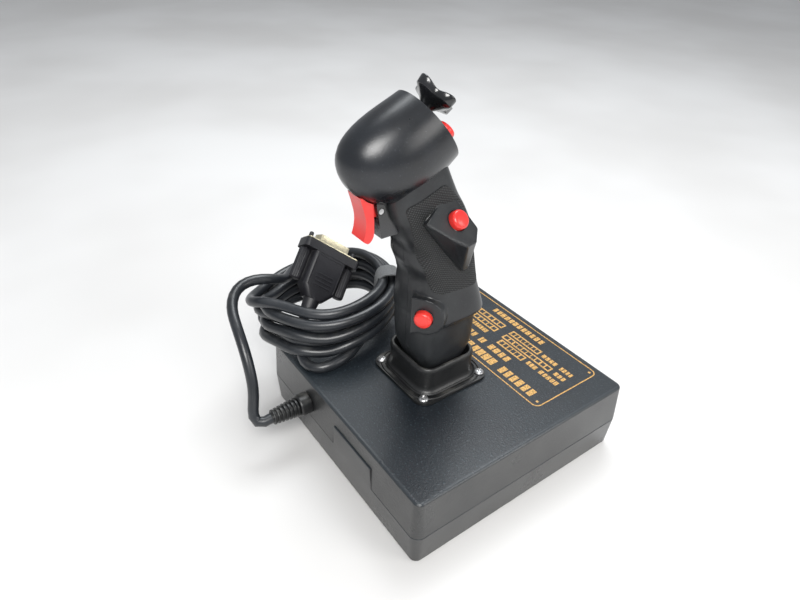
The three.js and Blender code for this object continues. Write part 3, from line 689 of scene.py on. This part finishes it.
# Strands push each other apart, bend stiffly, and keep off the base and the connector.
def settled(points, leadCount):
    target = points.copy()
    count = len(points)
    step = np.linalg.norm(points[1] - points[0])
    order = np.arange(count)
    apart = np.abs(order[:, None] - order[None]) > settle["skip"]
    hold = np.where(order < leadCount, settle["holdLead"], settle["hold"])
    hold[-6:] = settle["holdEnd"]
    axes = np.array(hoodPlace.to_3x3()).T
    origin = np.array(hoodPlace.translation)
    for _ in range(settle["rounds"]):
        away = points[:, None] - points[None]
        distance = np.linalg.norm(away, axis=2) + 1e-9
        close = settle["spacing"] - distance
        push = np.where((close > 0) & apart, close * settle["push"], 0)
        force = (away / distance[..., None] * push[..., None]).sum(1) + (target - points) * hold[:, None]
        bend = points[:-4] - 4 * points[1:-3] + 6 * points[2:-2] - 4 * points[3:-1] + points[4:]
        force[2:-2] -= settle["stiffness"] * bend
        stretch = np.diff(points, axis=0)
        length = np.linalg.norm(stretch, axis=1)
        pull = stretch / length[:, None] * ((length - length.mean()) * settle["stretch"])[:, None]
        force[:-1] += pull
        force[1:] -= pull
        across, facing, up = ((points - origin) @ axes.T).T
        half = np.where(up > connector["neckTop"], connector["halfPlate"], connector["halfNeck"])
        inside = (np.abs(across) < half) & (np.abs(facing) < connector["halfDepth"])
        inside &= (up > connector["bottom"]) & (up < connector["top"])
        inside[-9:] = False
        out = (connector["halfDepth"] - np.abs(facing)) * np.sign(facing)
        force += np.where(inside[:, None], out[:, None] * axes[1], 0) * 0.3
        size = np.linalg.norm(force, axis=1, keepdims=True) + 1e-9
        points = points + force * np.minimum(1, settle["most"] / size)
        onBase = (points[:, 0] < settle["baseEdge"]) & (order > leadCount - settle["skip"])
        points[:, 2] = np.where(onBase, np.maximum(points[:, 2], lead["floor"]), points[:, 2])
        points[0] = target[0]
        points[1] = target[0] + np.array([0, step, -0.1 * step])
        points[-1] = target[-1]
        points[-2] = target[-1] - axes[2] * step
    return points


def leadRoute():
    stops = stationsOfCoil()
    centre = np.array(lead["centre"])
    start = np.array(lead["toCoil"][-1][:2]) - centre
    stops.insert(0, (math.degrees(math.atan2(start[1], start[0])), np.hypot(*start), lead["toCoil"][-1][2]))
    turns = smoothThrough(stops, 2)[1:]
    coil = []
    for heading, radius, height in turns:
        angle = math.radians(heading)
        coil.append((centre[0] + radius * math.cos(angle), centre[1] + radius * math.sin(angle), height))
    rough = smoothThrough(lead["toCoil"] + coil + lead["toConnector"], 10)
    points, length = evenly(rough, lead["knots"])
    leadCount = int(lead["knots"] * evenly(smoothThrough(lead["toCoil"], 10), 9)[1] / length)
    return evenly(settled(points, leadCount), lead["knots"])


def cordPiece():
    points, length = leadRoute()
    curve = bpy.data.curves.new("lead", "CURVE")
    curve.dimensions = "3D"
    curve.bevel_depth = lead["diameter"] / 2 * mm
    curve.bevel_resolution = 5
    curve.use_fill_caps = True
    spline = curve.splines.new("POLY")
    spline.points.add(len(points) - 1)
    for knot, point in zip(spline.points, points):
        knot.co = (*(point * mm), 1)
    spline.use_smooth = True
    curve.materials.append(finishes["cord"].material)
    piece = linked("lead", curve)
    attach(piece, "root")
    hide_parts("cord_lead", "cord_coil", "cord_tail")
    print("lead:", round(length), "mm long")
    return piece, length * mm


cord, cordLength = cordPiece()


# base

base = {"top": 49.5, "stickY": 10.7, "screwSpacing": 22.2, "flangeTop": 51.6}


def baseShells():
    softened("base_top_shell", "base", "root", 0.7, 3)
    softened("base_bottom_shell", "base", "root", 0.45, 2)
    for i in range(1, 5):
        softened(f"foot_{i}", "boot", "root", 0.4, 3)


def crossHeadScrew():
    head = [(0, 1.5), (1.2, 1.45), (2.2, 1.2), (2.75, 0.8), (3.0, 0.3), (3.0, 0), (2.6, -0.6), (0, -0.6)]
    body = solidOf("screw", *spun(head, sides=28))
    recess = [brick(3.6, 0.85, 2.2), brick(0.85, 3.6, 2.2)]
    for slot in recess:
        slot.transform(Matrix.Translation((0, 0, 1.6 * mm)))
    return combined(body, recess)


def bootScrews():
    places = []
    for i, (x, y) in enumerate(((-1, -1), (1, -1), (1, 1), (-1, 1))):
        at = (x * base["screwSpacing"], base["stickY"] + y * base["screwSpacing"], base["flangeTop"] + 0.35)
        places.append((at, (0, 0, 0.4 + 0.7 * i), (1, 1, 1)))
    screws = repeated("boot_screws", crossHeadScrew(), places, "steel", "root")
    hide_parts(*[f"boot_screw_{i}" for i in range(1, 5)])


label = {
    "left": -64.2, "right": 64.2, "near": -20.4, "far": -76.4, "corner": 4.5, "line": 0.75,
    "proud": 0.07, "sunk": -0.2, "dotIn": 3.8, "dotNear": 4.6, "dotFar": 3.6, "dot": 0.8,
    "words": [  # left, right, near, far, letters
        (-54.5, -24, -24.4, -31, 6), (-19.5, 19.5, -24.4, -31, 7), (24, 54.5, -24.4, -31, 6),
        (-22.6, -3, -35, -40.2, 4), (1, 6, -35, -40.2, 2), (10, 22.6, -35, -40.2, 3),
        (-56.7, -41, -44.8, -48.6, 5), (-38.6, -29.8, -44.8, -48.6, 3), (8.5, 28, -44.8, -48.6, 8),
        (-56.7, -47.8, -51.6, -55.2, 3), (-56.7, -46.5, -58.4, -62, 4), (-43.6, -31, -58.4, -62, 4),
        (-22.6, 26.7, -67.4, -72, 12),
    ],
    "boxes": [  # left, right, near, far, letters
        (-27.4, -3.9, -43.8, -49.4, 6), (-45, -1.4, -50.8, -55.9, 10), (-28.9, -1.4, -57.6, -62.9, 8),
        (32, 56.5, -43.8, -49.4, 6), (5.8, 56.5, -50.8, -55.9, 11), (5.8, 56.5, -57.6, -62.9, 10),
    ],
}


def block(left, right, near, far, height):
    middle = ((left + right) / 2, (near + far) / 2, base["top"] + height / 2)
    return middle, (0, 0, 0), (right - left, near - far, height)


def blocksOf(left, right, near, far, letters, height, pick):
    pitch = (right - left) / letters
    made = []
    for i in range(letters):
        start = left + i * pitch
        wide = pitch * pick.uniform(0.68, 0.86)
        made.append(block(start, start + wide, near, far, height))
    return made


def labelPrint():
    pick = random.Random(4)
    proud = label["proud"]
    marks = []
    for word in label["words"]:
        marks += blocksOf(*word, proud, pick)
    marks += [block(*box[:4], proud) for box in label["boxes"]]
    dot = label["dot"]
    for x in (label["left"] + label["dotIn"], label["right"] - label["dotIn"]):
        for y in (label["near"] - label["dotNear"], label["far"] + label["dotFar"]):
            marks.append(block(x - dot, x + dot, y + dot, y - dot, proud))
    repeated("label_marks", brick(1, 1, 1), marks, "gold", "root", 20)
    letters = []
    for left, right, near, far, count in label["boxes"]:
        letters += blocksOf(left + 1.2, right - 0.6, near - 1.1, far + 1.1, count, proud + 0.05, pick)
    repeated("label_box_marks", brick(1, 1, 1), letters, "base", "root", 20)


def labelBorder():
    wide = (label["right"] - label["left"]) / 2
    long = (label["near"] - label["far"]) / 2
    middle = ((label["left"] + label["right"]) / 2, (label["near"] + label["far"]) / 2)

    inset, proud, sunk = label["line"], label["proud"], label["sunk"]
    rings = []
    for less, height in ((0, sunk), (0, proud), (inset, proud), (inset, sunk)):
        corner = label["corner"] - less
        rings.append(roundedRing(wide - less, long - less, corner, base["top"] + height, middle, 6))
    shown("label_border", solidOf("border", *skin(rings, looped=True)), "gold", "root", 20)


baseShells()
bootScrews()
labelPrint()
labelBorder()
print("base: shells, feet, screws, label")


# boot

boot = {
    "corner": 8.5, "cornerAt": 20.5,  # the corner's radius on a ring with that half width
    "ridges": [(26.2, 0), (23.4, 0.9)],  # half width, lift
    "ridge": [(0.45, 51.4), (0.4, 51.95), (0, 52.25), (-0.4, 51.95), (-0.45, 51.4)],
    # half width and height, up the outside and down the inside
    "lower": [(23, 51.9), (22.9, 52.6), (21.9, 53.3), (21.1, 54.6), (20.8, 56.5), (20.75, 58.3), (20.7, 60),
              (19.3, 60), (19.3, 57), (19.4, 54), (19.4, 51.9)],
    "upper": [(20.7, 60), (20.65, 62), (20.75, 64.5), (20.95, 66.6), (20.9, 68.2), (20.4, 69.4), (19.6, 69.9),
              (18.8, 69.7), (18.3, 69), (18.1, 67.8), (18.2, 65), (18.6, 62.5), (19.3, 60)],
}


def bootSleeve(name, profile, body):
    centre = (0, base["stickY"])
    corner = boot["corner"] - boot["cornerAt"]
    rings = [roundedRing(half, half, corner + half, z, centre) for half, z in profile]
    return shown(name, solidOf(name, *skin(rings, looped=True)), "boot", body, 50)


def bootPieces():
    softened("boot_flange", "boot", "root", 0.45, 3)
    for i, (half, lift) in enumerate(boot["ridges"]):
        profile = [(half + across, z + lift) for across, z in boot["ridge"]]
        bootSleeve(f"flange_ridge_{i + 1}", profile, "root")
    lower = bootSleeve("boot_lower", boot["lower"], None)
    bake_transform(lower)
    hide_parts("boot_lower_wall")
    upper = bootSleeve("boot_upper", boot["upper"], None)
    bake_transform(upper)
    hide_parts("boot_upper_wall")


bootPieces()
print("boot: sleeves, flange, ridges")


# grip

grip = {
    "sections": [  # height, centre along Y, half width, reach forward, reach back
        (64, 10.6, 15.6, 15.6, 15.6), (69.6, 10.6, 17.6, 17.4, 17.4), (78, 10.3, 19.3, 20.5, 19.8),
        (90, 10.3, 19.8, 21.5, 20.2), (98.5, 10.2, 20.2, 21.5, 20.8), (101, 10, 22.3, 21.5, 23.8),
        (104, 10, 22.6, 21.3, 24), (119, 11, 19.8, 20.6, 20.3), (126, 12.2, 19.4, 18.8, 19.8),
        (131, 13.2, 19.3, 18.8, 19.8), (138, 14.8, 19.2, 20.4, 20), (147, 17.1, 19.1, 18.8, 20.3),
        (156, 19.8, 18.9, 21.4, 20.6), (162, 22, 18.8, 22.4, 20.8), (170, 26, 18.6, 22.8, 20.6),
        (180, 31, 18.2, 20, 19.4), (200, 36, 16, 14, 15),
    ],
    "squareness": 3.6,
    "panel": [(24.5, 187), (47.5, 178.5), (26.8, 122.5), (-4.5, 120.5), (3, 150), (10, 172)],
    "panelProud": 0.5,
    "voxel": (0.6, 5), "quickVoxel": (1.4, 2),  # size, rounds of smoothing
    "table": [
        (-25, 41.5, 172.6), (-17.5, 26, 178.6), (-18.2, 17, 177), (-28.5, 10.2, 163.8), (-33.2, 14.5, 159),
        (-34.4, 21.5, 158.6), (-31.5, 29, 163.2),
    ],
    "foot": [
        (-19, 38.5, 169), (-10, 27, 168), (-10, 15, 168), (-14, 3, 145), (-20, 5.5, 134), (-20.5, 10.5, 133),
        (-19.5, 17, 141),
    ],
    "pod": {"radius": 11.8, "from": -1.83, "to": 1.5, "start": [(-8, -13.5), (-3, -11.4)], "end": [(-8, 12)]},
}
thumbPlace = (Vector((-25, 21.9, 169.3)), Vector((-0.75, -0.1, 0.65)).normalized())
pinkyPlace = (Vector((-16.4, 31.9, 108.3)), Vector((-0.6, 0.8, 0)))
wellRadius = 5.9


def power(value, exponent):
    return math.copysign(abs(value) ** exponent, value)


def gripRing(section, grow, sides=112):
    z, middle, half, front, back = section
    ring = []
    for i in range(sides):
        angle = math.tau * i / sides
        reach = (front if math.sin(angle) > 0 else back) + grow
        x = (half + grow) * power(math.cos(angle), 2 / grip["squareness"])
        ring.append(Vector((x, middle + reach * power(math.sin(angle), 2 / grip["squareness"]), z)))
    return ring


def gripBody(grow):
    sections = smoothThrough(grip["sections"], 6)
    return solidOf("grip", *skin([gripRing(section, grow) for section in sections]))


def shrunkRing(points, share):
    middle = sum((Vector(point) for point in points), Vector()) / len(points)
    return [Vector(point).lerp(middle, share) for point in points]


def bossBody(grow=0):
    table = [Vector(point) for point in grip["table"]]
    foot = [Vector(point) for point in grip["foot"]]
    rings = [shrunkRing(foot, -grow), shrunkRing(table, -grow)]
    return solidOf("boss", *skin(rings))


def podBody():
    at, out = pinkyPlace
    across = Vector((-0.8, -0.6, 0))
    upright = Vector((0, 0, 1))
    pod = grip["pod"]
    arc = []
    for step in range(15):
        angle = pod["from"] + (pod["to"] - pod["from"]) * step / 14
        arc.append((pod["radius"] * math.cos(angle), pod["radius"] * math.sin(angle)))
    outline = pod["start"] + arc + pod["end"]
    rings = [[at + across * u + upright * v + out * depth for u, v in outline] for depth in (-12, 0)]
    return solidOf("pod", *skin(rings))


def cylinder(radius, low, high, at, direction, sides=56):
    return solidOf("bar", *spun([(radius, low), (radius, high)], at, direction, sides))


def wellTool(place, depth=5):
    return cylinder(wellRadius, -depth, 20, *place)


def gripPieces():
    voxel, smoothing = grip["voxel"]
    whole = remeshed(meshOf(workOn(gripBody(0), bossBody(), podBody())), voxel, smoothing)
    whole = combined(whole, [wellTool(thumbPlace), wellTool(pinkyPlace)])
    left = bisected(whole, (-0.09, 0, 0), (1, 0, 0))
    right = bisected(whole, (0.09, 0, 0), (-1, 0, 0))
    left = bevelled(shown("grip_left", left, "grip", "stick", 40), 0.18, 2, 50)
    right = bevelled(shown("grip_right", right, "grip", "stick", 40), 0.18, 2, 50)
    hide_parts("grip_left_shell", "thumb_boss", "pinky_pod")
    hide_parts("grip_right_shell")


def panelTool(side):
    flat = grip["panel"]
    closed = eased([flat[-1]] + flat + [flat[0]], 3.5, 5)[1:-1]
    rings = [[Vector((side * x, y, z)) for y, z in closed] for x in (11, 30)]
    return solidOf("window", *skin(rings))


def sidePanels():
    for side, name in ((-1, "left"), (1, "right")):
        body = gripBody(grip["panelProud"])
        body = combined(body, [panelTool(side)], "INTERSECT")
        if side < 0:
            body = combined(body, [bossBody(0.03)])
        panel = bevelled(shown(f"{name}_panel", body, "panel", "stick", 40), 0.3, 2, 50)
        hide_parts(f"{name}_side_panel")


gripPieces()
sidePanels()
print("grip: two halves, panels")


# head

head = {
    "face": (0, 23.8, 210.7), "tilt": math.radians(52.5), "dip": math.radians(32.3), "length": 50.8,
    "lift": 7.4, "widths": (18.5, 20), "heights": (22.4, 24.6), "bluntness": 4.25, "well": 7,
    "steps": [-24, -18, -12, -6, 0, 5, 10, 15, 20, 30, 34.5, 41, 46.2],
    "wall": 1.5, "pocket": 1.4, "plateTop": -0.5, "plateUnder": -2.4, "plateGap": 1.75, "stemHole": 6.9,
}
faceNormal = Vector((0, -math.sin(head["tilt"]), math.cos(head["tilt"])))


def onFace(across, up, out=0):
    rise = Vector((0, math.cos(head["tilt"]), math.sin(head["tilt"])))
    return Vector(head["face"]) + Vector((across, 0, 0)) + rise * up + faceNormal * out


def headRing(distance, grow, sides=96):
    part = max(distance / head["length"], 0)
    taper = math.sqrt(max(1 - part ** head["bluntness"], 0))
    swell = math.sin(math.pi / 2 * min(distance / (0.55 * head["length"]), 1))
    wide = (head["widths"][0] + (head["widths"][1] - head["widths"][0]) * swell) * taper + grow
    tall = (head["heights"][0] + (head["heights"][1] - head["heights"][0]) * swell) * taper + grow
    lift = head["lift"] * part * part
    ring = []
    for i in range(sides):
        angle = math.tau * i / sides
        high = tall * math.sin(angle) + lift
        y = head["face"][1] + distance * math.cos(head["dip"]) + high * math.sin(head["dip"])
        z = head["face"][2] - distance * math.sin(head["dip"]) + high * math.cos(head["dip"])
        ring.append(Vector((-wide * math.cos(angle), y, z)))
    return ring


def headBody(grow):
    nearEnd = [head["length"] * (1 - 0.5 ** step) for step in range(1, 10)]
    steps = sorted(head["steps"] + nearEnd)
    return solidOf("head", *skin([headRing(distance, grow) for distance in steps]))


hatPlace = (0.5, 7.6)
topPlace = (onFace(-9.5, -2), faceNormal)


def headPieces():
    body = bisected(headBody(0), onFace(0, 0, 0), faceNormal)
    pocket = bisected(headBody(-head["wall"]), onFace(0, 0, 12), faceNormal)
    pocket = bisected(pocket, onFace(0, 0, -head["pocket"]), -faceNormal)
    body = combined(body, [pocket, wellTool(topPlace, head["well"])])
    shell = bevelled(shown("head_soft", body, "head", "stick", 40), 0.55, 3, 50)
    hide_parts("head_shell")
    plate = bisected(headBody(-head["plateGap"]), onFace(0, 0, head["plateTop"]), faceNormal)
    plate = bisected(plate, onFace(0, 0, head["plateUnder"]), -faceNormal)
    stemHole = cylinder(head["stemHole"], -5, 5, onFace(*hatPlace), faceNormal)
    plate = combined(plate, [wellTool(topPlace, head["well"]), stemHole])
    face = bevelled(shown("face_plate", plate, "gloss", "stick", 40), 0.4, 3, 50)
    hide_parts("head_face")


hat = {
    "tilt": math.radians(47), "reach": 10.9, "lobe": 1.9, "rim": 12.0, "rise": 1.7, "dish": 2.6, "sides": 96,
    # share of the reach, share of the dish's depth, share of the lobes' rise
    "top": [
        (0, 0, 0), (0.2, 0.02, 0), (0.4, 0.12, 0.1), (0.6, 0.34, 0.35), (0.78, 0.66, 0.7), (0.9, 0.9, 0.95),
        (0.97, 1, 1), (1.0, 0.94, 0.96), (1.0, 0.8, 0.85),
    ],
    # share of the reach, height
    "under": [(0.97, 9.3), (0.9, 8.7), (0.72, 7.6), (0.5, 6.2), (0.38, 4.8), (0.3, 3), (0.28, -3), (0, -3)],
    "lobesFrom": 0.6,
    "collar": [(5.85, -2.2), (5.85, 1.3), (6.05, 1.65), (6.4, 1.6), (6.6, 1.2), (6.6, -2.2), (5.85, -2.2)],
}


def hatPiece():
    axis = Vector((0, -math.sin(hat["tilt"]), math.cos(hat["tilt"])))
    turn = Matrix((Vector((1, 0, 0)), axis.cross(Vector((1, 0, 0))), axis)).transposed()
    angles = [math.tau * i / hat["sides"] for i in range(hat["sides"])]
    rings = []
    for share, dish, lobe in hat["top"]:
        ring = []
        for angle in angles:
            reach = share * (hat["reach"] + hat["lobe"] * math.cos(4 * angle))
            rise = lobe * hat["rise"] * (0.5 + 0.5 * math.cos(4 * angle))
            height = hat["rim"] + (dish - 1) * hat["dish"] + rise
            ring.append(Vector((reach * math.cos(angle), reach * math.sin(angle), height)))
        rings.append(ring)
    for share, height in hat["under"]:
        fading = max((share - hat["lobesFrom"]) / (1 - hat["lobesFrom"]), 0)
        ring = []
        for angle in angles:
            reach = share * hat["reach"] + hat["lobe"] * math.cos(4 * angle) * fading
            ring.append(Vector((reach * math.cos(angle), reach * math.sin(angle), height)))
        rings.append(ring)
    at = onFace(*hatPlace)
    rings = [[at + turn @ point for point in ring] for ring in rings]
    cap = shown("hat_soft", solidOf("hat", *skin(rings, False, False)), "gloss", "hat", 60)
    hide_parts("hat_cap")
    ring = solidOf("ring", *spun(hat["collar"], at, faceNormal))
    collar = shown("hat_ring", ring, "gloss", "stick", 40)
    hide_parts("hat_collar")


button = {
    "dome": [(5.1, -6), (5.1, 3.1), (4.2, 4.1), (2, 4.55), (0, 4.6)],
    "sleeve": [(5.35, -5), (5.35, 0.25), (5.55, 0.5), (5.8, 0.4), (5.85, 0.1), (5.85, -5), (5.35, -5)],
    "topSleeveDrop": 1.2,
}


def buttonPieces():
    dome = eased(button["dome"], 0.8, 4)
    places = {"top_button": topPlace, "thumb_button": thumbPlace, "pinky_button": pinkyPlace}
    for name, (at, out) in places.items():
        cap = shown(name + "_soft", solidOf(name, *spun(dome, at, out, 56)), "red", name, 40)
        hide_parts(name)
        drop = button["topSleeveDrop"] if name == "top_button" else 0
        sleeve = [(radius, height - drop) for radius, height in button["sleeve"]]
        shown(name + "_sleeve", solidOf("sleeve", *spun(sleeve, at, out, 56)), "gloss", "stick", 40)


headPieces()
hatPiece()
buttonPieces()
softened("trigger", "red", "trigger", 1.5, 5)
softened("trigger_housing", "gloss", "stick", 0.8, 4)
print("head: shell, face, hat, buttons, trigger")


# strain relief and connector

relief = {
    "x": 31.5, "z": 33.5, "wall": 82.5, "ribs": 7, "first": 9.2, "last": 24.2, "radius": 6.35, "taper": 1.5,
    # radius and distance from the wall
    "core": [
        (0, -6), (4.7, -6), (4.7, 0), (7, 0.1), (7.05, 6.6), (6.6, 7.6), (4.9, 8), (3.7, 24.5), (3.6, 25.6),
        (3.38, 25.6), (0, 25.5),
    ],
    # a share of the rib's radius, and distance along the relief
    "rib": [
        (0.62, -0.935), (0.94, -0.85), (1, -0.51), (1, 0.51), (0.94, 0.85), (0.62, 0.935), (0.62, -0.935),
    ],
}


def strainRelief():
    at = (relief["x"], relief["wall"], relief["z"])
    core = solidOf("relief", *spun(eased(relief["core"], 0.35, 3), at, (0, 1, 0)))
    body = shown("relief_core", core, "boot", "root", 45)
    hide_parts("strain_relief")
    shape = solidOf("rib", *spun(relief["rib"], sides=48))
    places = []
    for i in range(relief["ribs"]):
        part = i / (relief["ribs"] - 1)
        y = relief["wall"] + relief["first"] + (relief["last"] - relief["first"]) * part
        radius = relief["radius"] - relief["taper"] * part
        places.append(((relief["x"], y, relief["z"]), (-math.pi / 2, 0, 0), (radius, radius, 0.9)))
    repeated("relief_ribs", shape, places, "boot", "root", 45)


def inHood(x, y, z):
    return hoodPlace @ Vector((x, y, z))


def hoodPieces():
    hood = softened("connector_hood", "hood", "root", 0.7, 3)
    softened("connector_shell", "yellowSteel", "root", 0.25, 2)
    turn = tuple(hoodPlace.to_euler())
    bars = []
    for face in (-1, 1):
        for along, up, out, size in connector["ribs"] + connector["frame"]:
            bars.append((inHood(along, face * out, up), turn, size))
    frameBars = repeated("hood_ribs", brick(1, 1, 1, 0.18), bars, "hood", "root")
    pinShape = solidOf("pin", *spun(eased(connector["pin"], 0.15, 2), sides=12))
    pins = []
    for count, side in zip(connector["pins"], (1, -1)):
        for i in range(count):
            x = (i - (count - 1) / 2) * connector["pinPitch"]
            at = inHood(x, side * connector["pinRow"], connector["pinFoot"])
            pins.append((at, turn, (1, 1, 1)))
    pinSet = repeated("connector_pins", pinShape, pins, "yellowSteel", "root")
    return [hood, frameBars, pinSet]


def knurl(angle, height):
    grip = connector["knurl"]
    return grip["depth"] * math.cos(grip["count"] * angle) if grip["from"] < height < grip["to"] else 0


def jackScrews():
    profile = connector["screw"]
    rows = []
    for (r0, h0), (r1, h1) in zip(profile, profile[1:]):
        rows += [(r0 + (r1 - r0) * k / 4, h0 + (h1 - h0) * k / 4) for k in range(4)]
    rows.append(profile[-1])
    made = []
    for i, side in ((1, 1), (2, -1)):
        points, faces = spun(rows, (side * connector["screwPitch"] / 2, 0, 0), (0, 0, 1), 100, knurl)
        points = [hoodPlace @ point for point in points]
        name = f"jack_screw_{i}"
        screw = shown(name + "_soft", solidOf(name, points, faces), "hood", name, 45)
        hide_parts(name)
        made.append(screw)
    return made


strap = {
    "side": (-0.438, -0.899), "inner": 32.2, "outer": 47.4, "low": 60.5, "high": 93.0, "wide": 12.5,
    "thick": 1.1, "roundness": 0.62,
}


def strapPiece():
    centre = Vector((*lead["centre"], 0))
    out = Vector((*strap["side"], 0)).normalized()
    across = Vector((-out.y, out.x, 0))
    halfR = (strap["outer"] - strap["inner"]) / 2
    halfZ = (strap["high"] - strap["low"]) / 2
    middle = centre + out * (strap["inner"] + halfR) + Vector((0, 0, strap["low"] + halfZ))
    rings = []
    for i in range(72):
        angle = math.tau * i / 72
        u = power(math.cos(angle), strap["roundness"])
        v = power(math.sin(angle), strap["roundness"])
        rim = []
        for side, grow in ((-1, 0), (1, 0), (1, strap["thick"]), (-1, strap["thick"])):
            inLoop = out * u * (halfR + grow) + Vector((0, 0, v * (halfZ + grow)))
            rim.append(middle + inLoop + across * side * strap["wide"] / 2)
        rings.append(rim)
    loop = solidOf("strap", *skin(rings, looped=True))
    band = bevelled(shown("strap_band", loop, "strap", "root", 40), 0.3, 2)
    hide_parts("cable_strap")
    return band


strainRelief()
strapBand = strapPiece()
cordExtras = hoodPieces() + jackScrews() + [strapBand]
print("relief, connector, strap")


# the CAD solids that stay

kept = {
    "nylon": ["gimbal_frame", "gimbal_yoke", "hat_cross", "pin_insert"],
    "steel": [
        "pitch_pin_left", "pitch_pin_right", "roll_pin_front", "roll_pin_rear", "stick_shaft", "shaft_nut",
        "pitch_sensor", "roll_sensor", "pitch_spring", "roll_spring", "trigger_pin",
        "case_screw_1", "case_screw_2", "case_screw_3", "case_screw_4",
    ],
    "board": ["circuit_board"],
    "gloss": ["thumb_switch", "pinky_switch", "top_switch"],
}
for finish, nodes in kept.items():
    for node in nodes:
        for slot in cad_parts[node].material_slots:
            slot.material = finishes[finish].material


# floor and light

room = {
    "floor": 3,  # half the floor's side, in metres
    "lamps": {  # place, what it points at, size, watts, colour
        "window": ((-0.75, 0.55, 1.0), (0, 0, 0.1), 0.55, 15, (1, 0.99, 0.97)),
        "ceiling": ((0.35, -0.35, 1.2), (0, 0, 0.1), 0.7, 10, (0.95, 0.98, 1)),
        "fill": ((-0.9, -0.5, 0.6), (0, 0, 0.12), 0.5, 3.5, (1, 0.98, 0.95)),
    },
    "sky": (0.93, 0.96, 1, 1),
    "skyStrength": 0.42,
}


def floorPiece():
    half = room["floor"]
    mesh = bpy.data.meshes.new("floor")
    corners = [(-half, -half, 0), (half, -half, 0), (half, half, 0), (-half, half, 0)]
    mesh.from_pydata(corners, [], [(0, 1, 2, 3)])
    floor = shown("floor", mesh, "floor", None)


def areaLight(name, place, target, size, watts, colour):
    lamp = bpy.data.lights.new(name, "AREA")
    lamp.size = size
    lamp.energy = watts
    lamp.color = colour
    aim = (Vector(target) - Vector(place)).to_track_quat("-Z", "Y").to_matrix().to_4x4()
    linked(name, lamp).matrix_world = Matrix.Translation(place) @ aim


def skyLight():
    world = bpy.data.worlds.new("sky")
    world.use_nodes = True
    background = world.node_tree.nodes["Background"]
    background.inputs["Color"].default_value = room["sky"]
    background.inputs["Strength"].default_value = room["skyStrength"]
    bpy.context.scene.world = world


floorPiece()
for name, lamp in room["lamps"].items():
    areaLight(name, *lamp)
skyLight()
bpy.context.scene.view_settings.view_transform = "Standard"
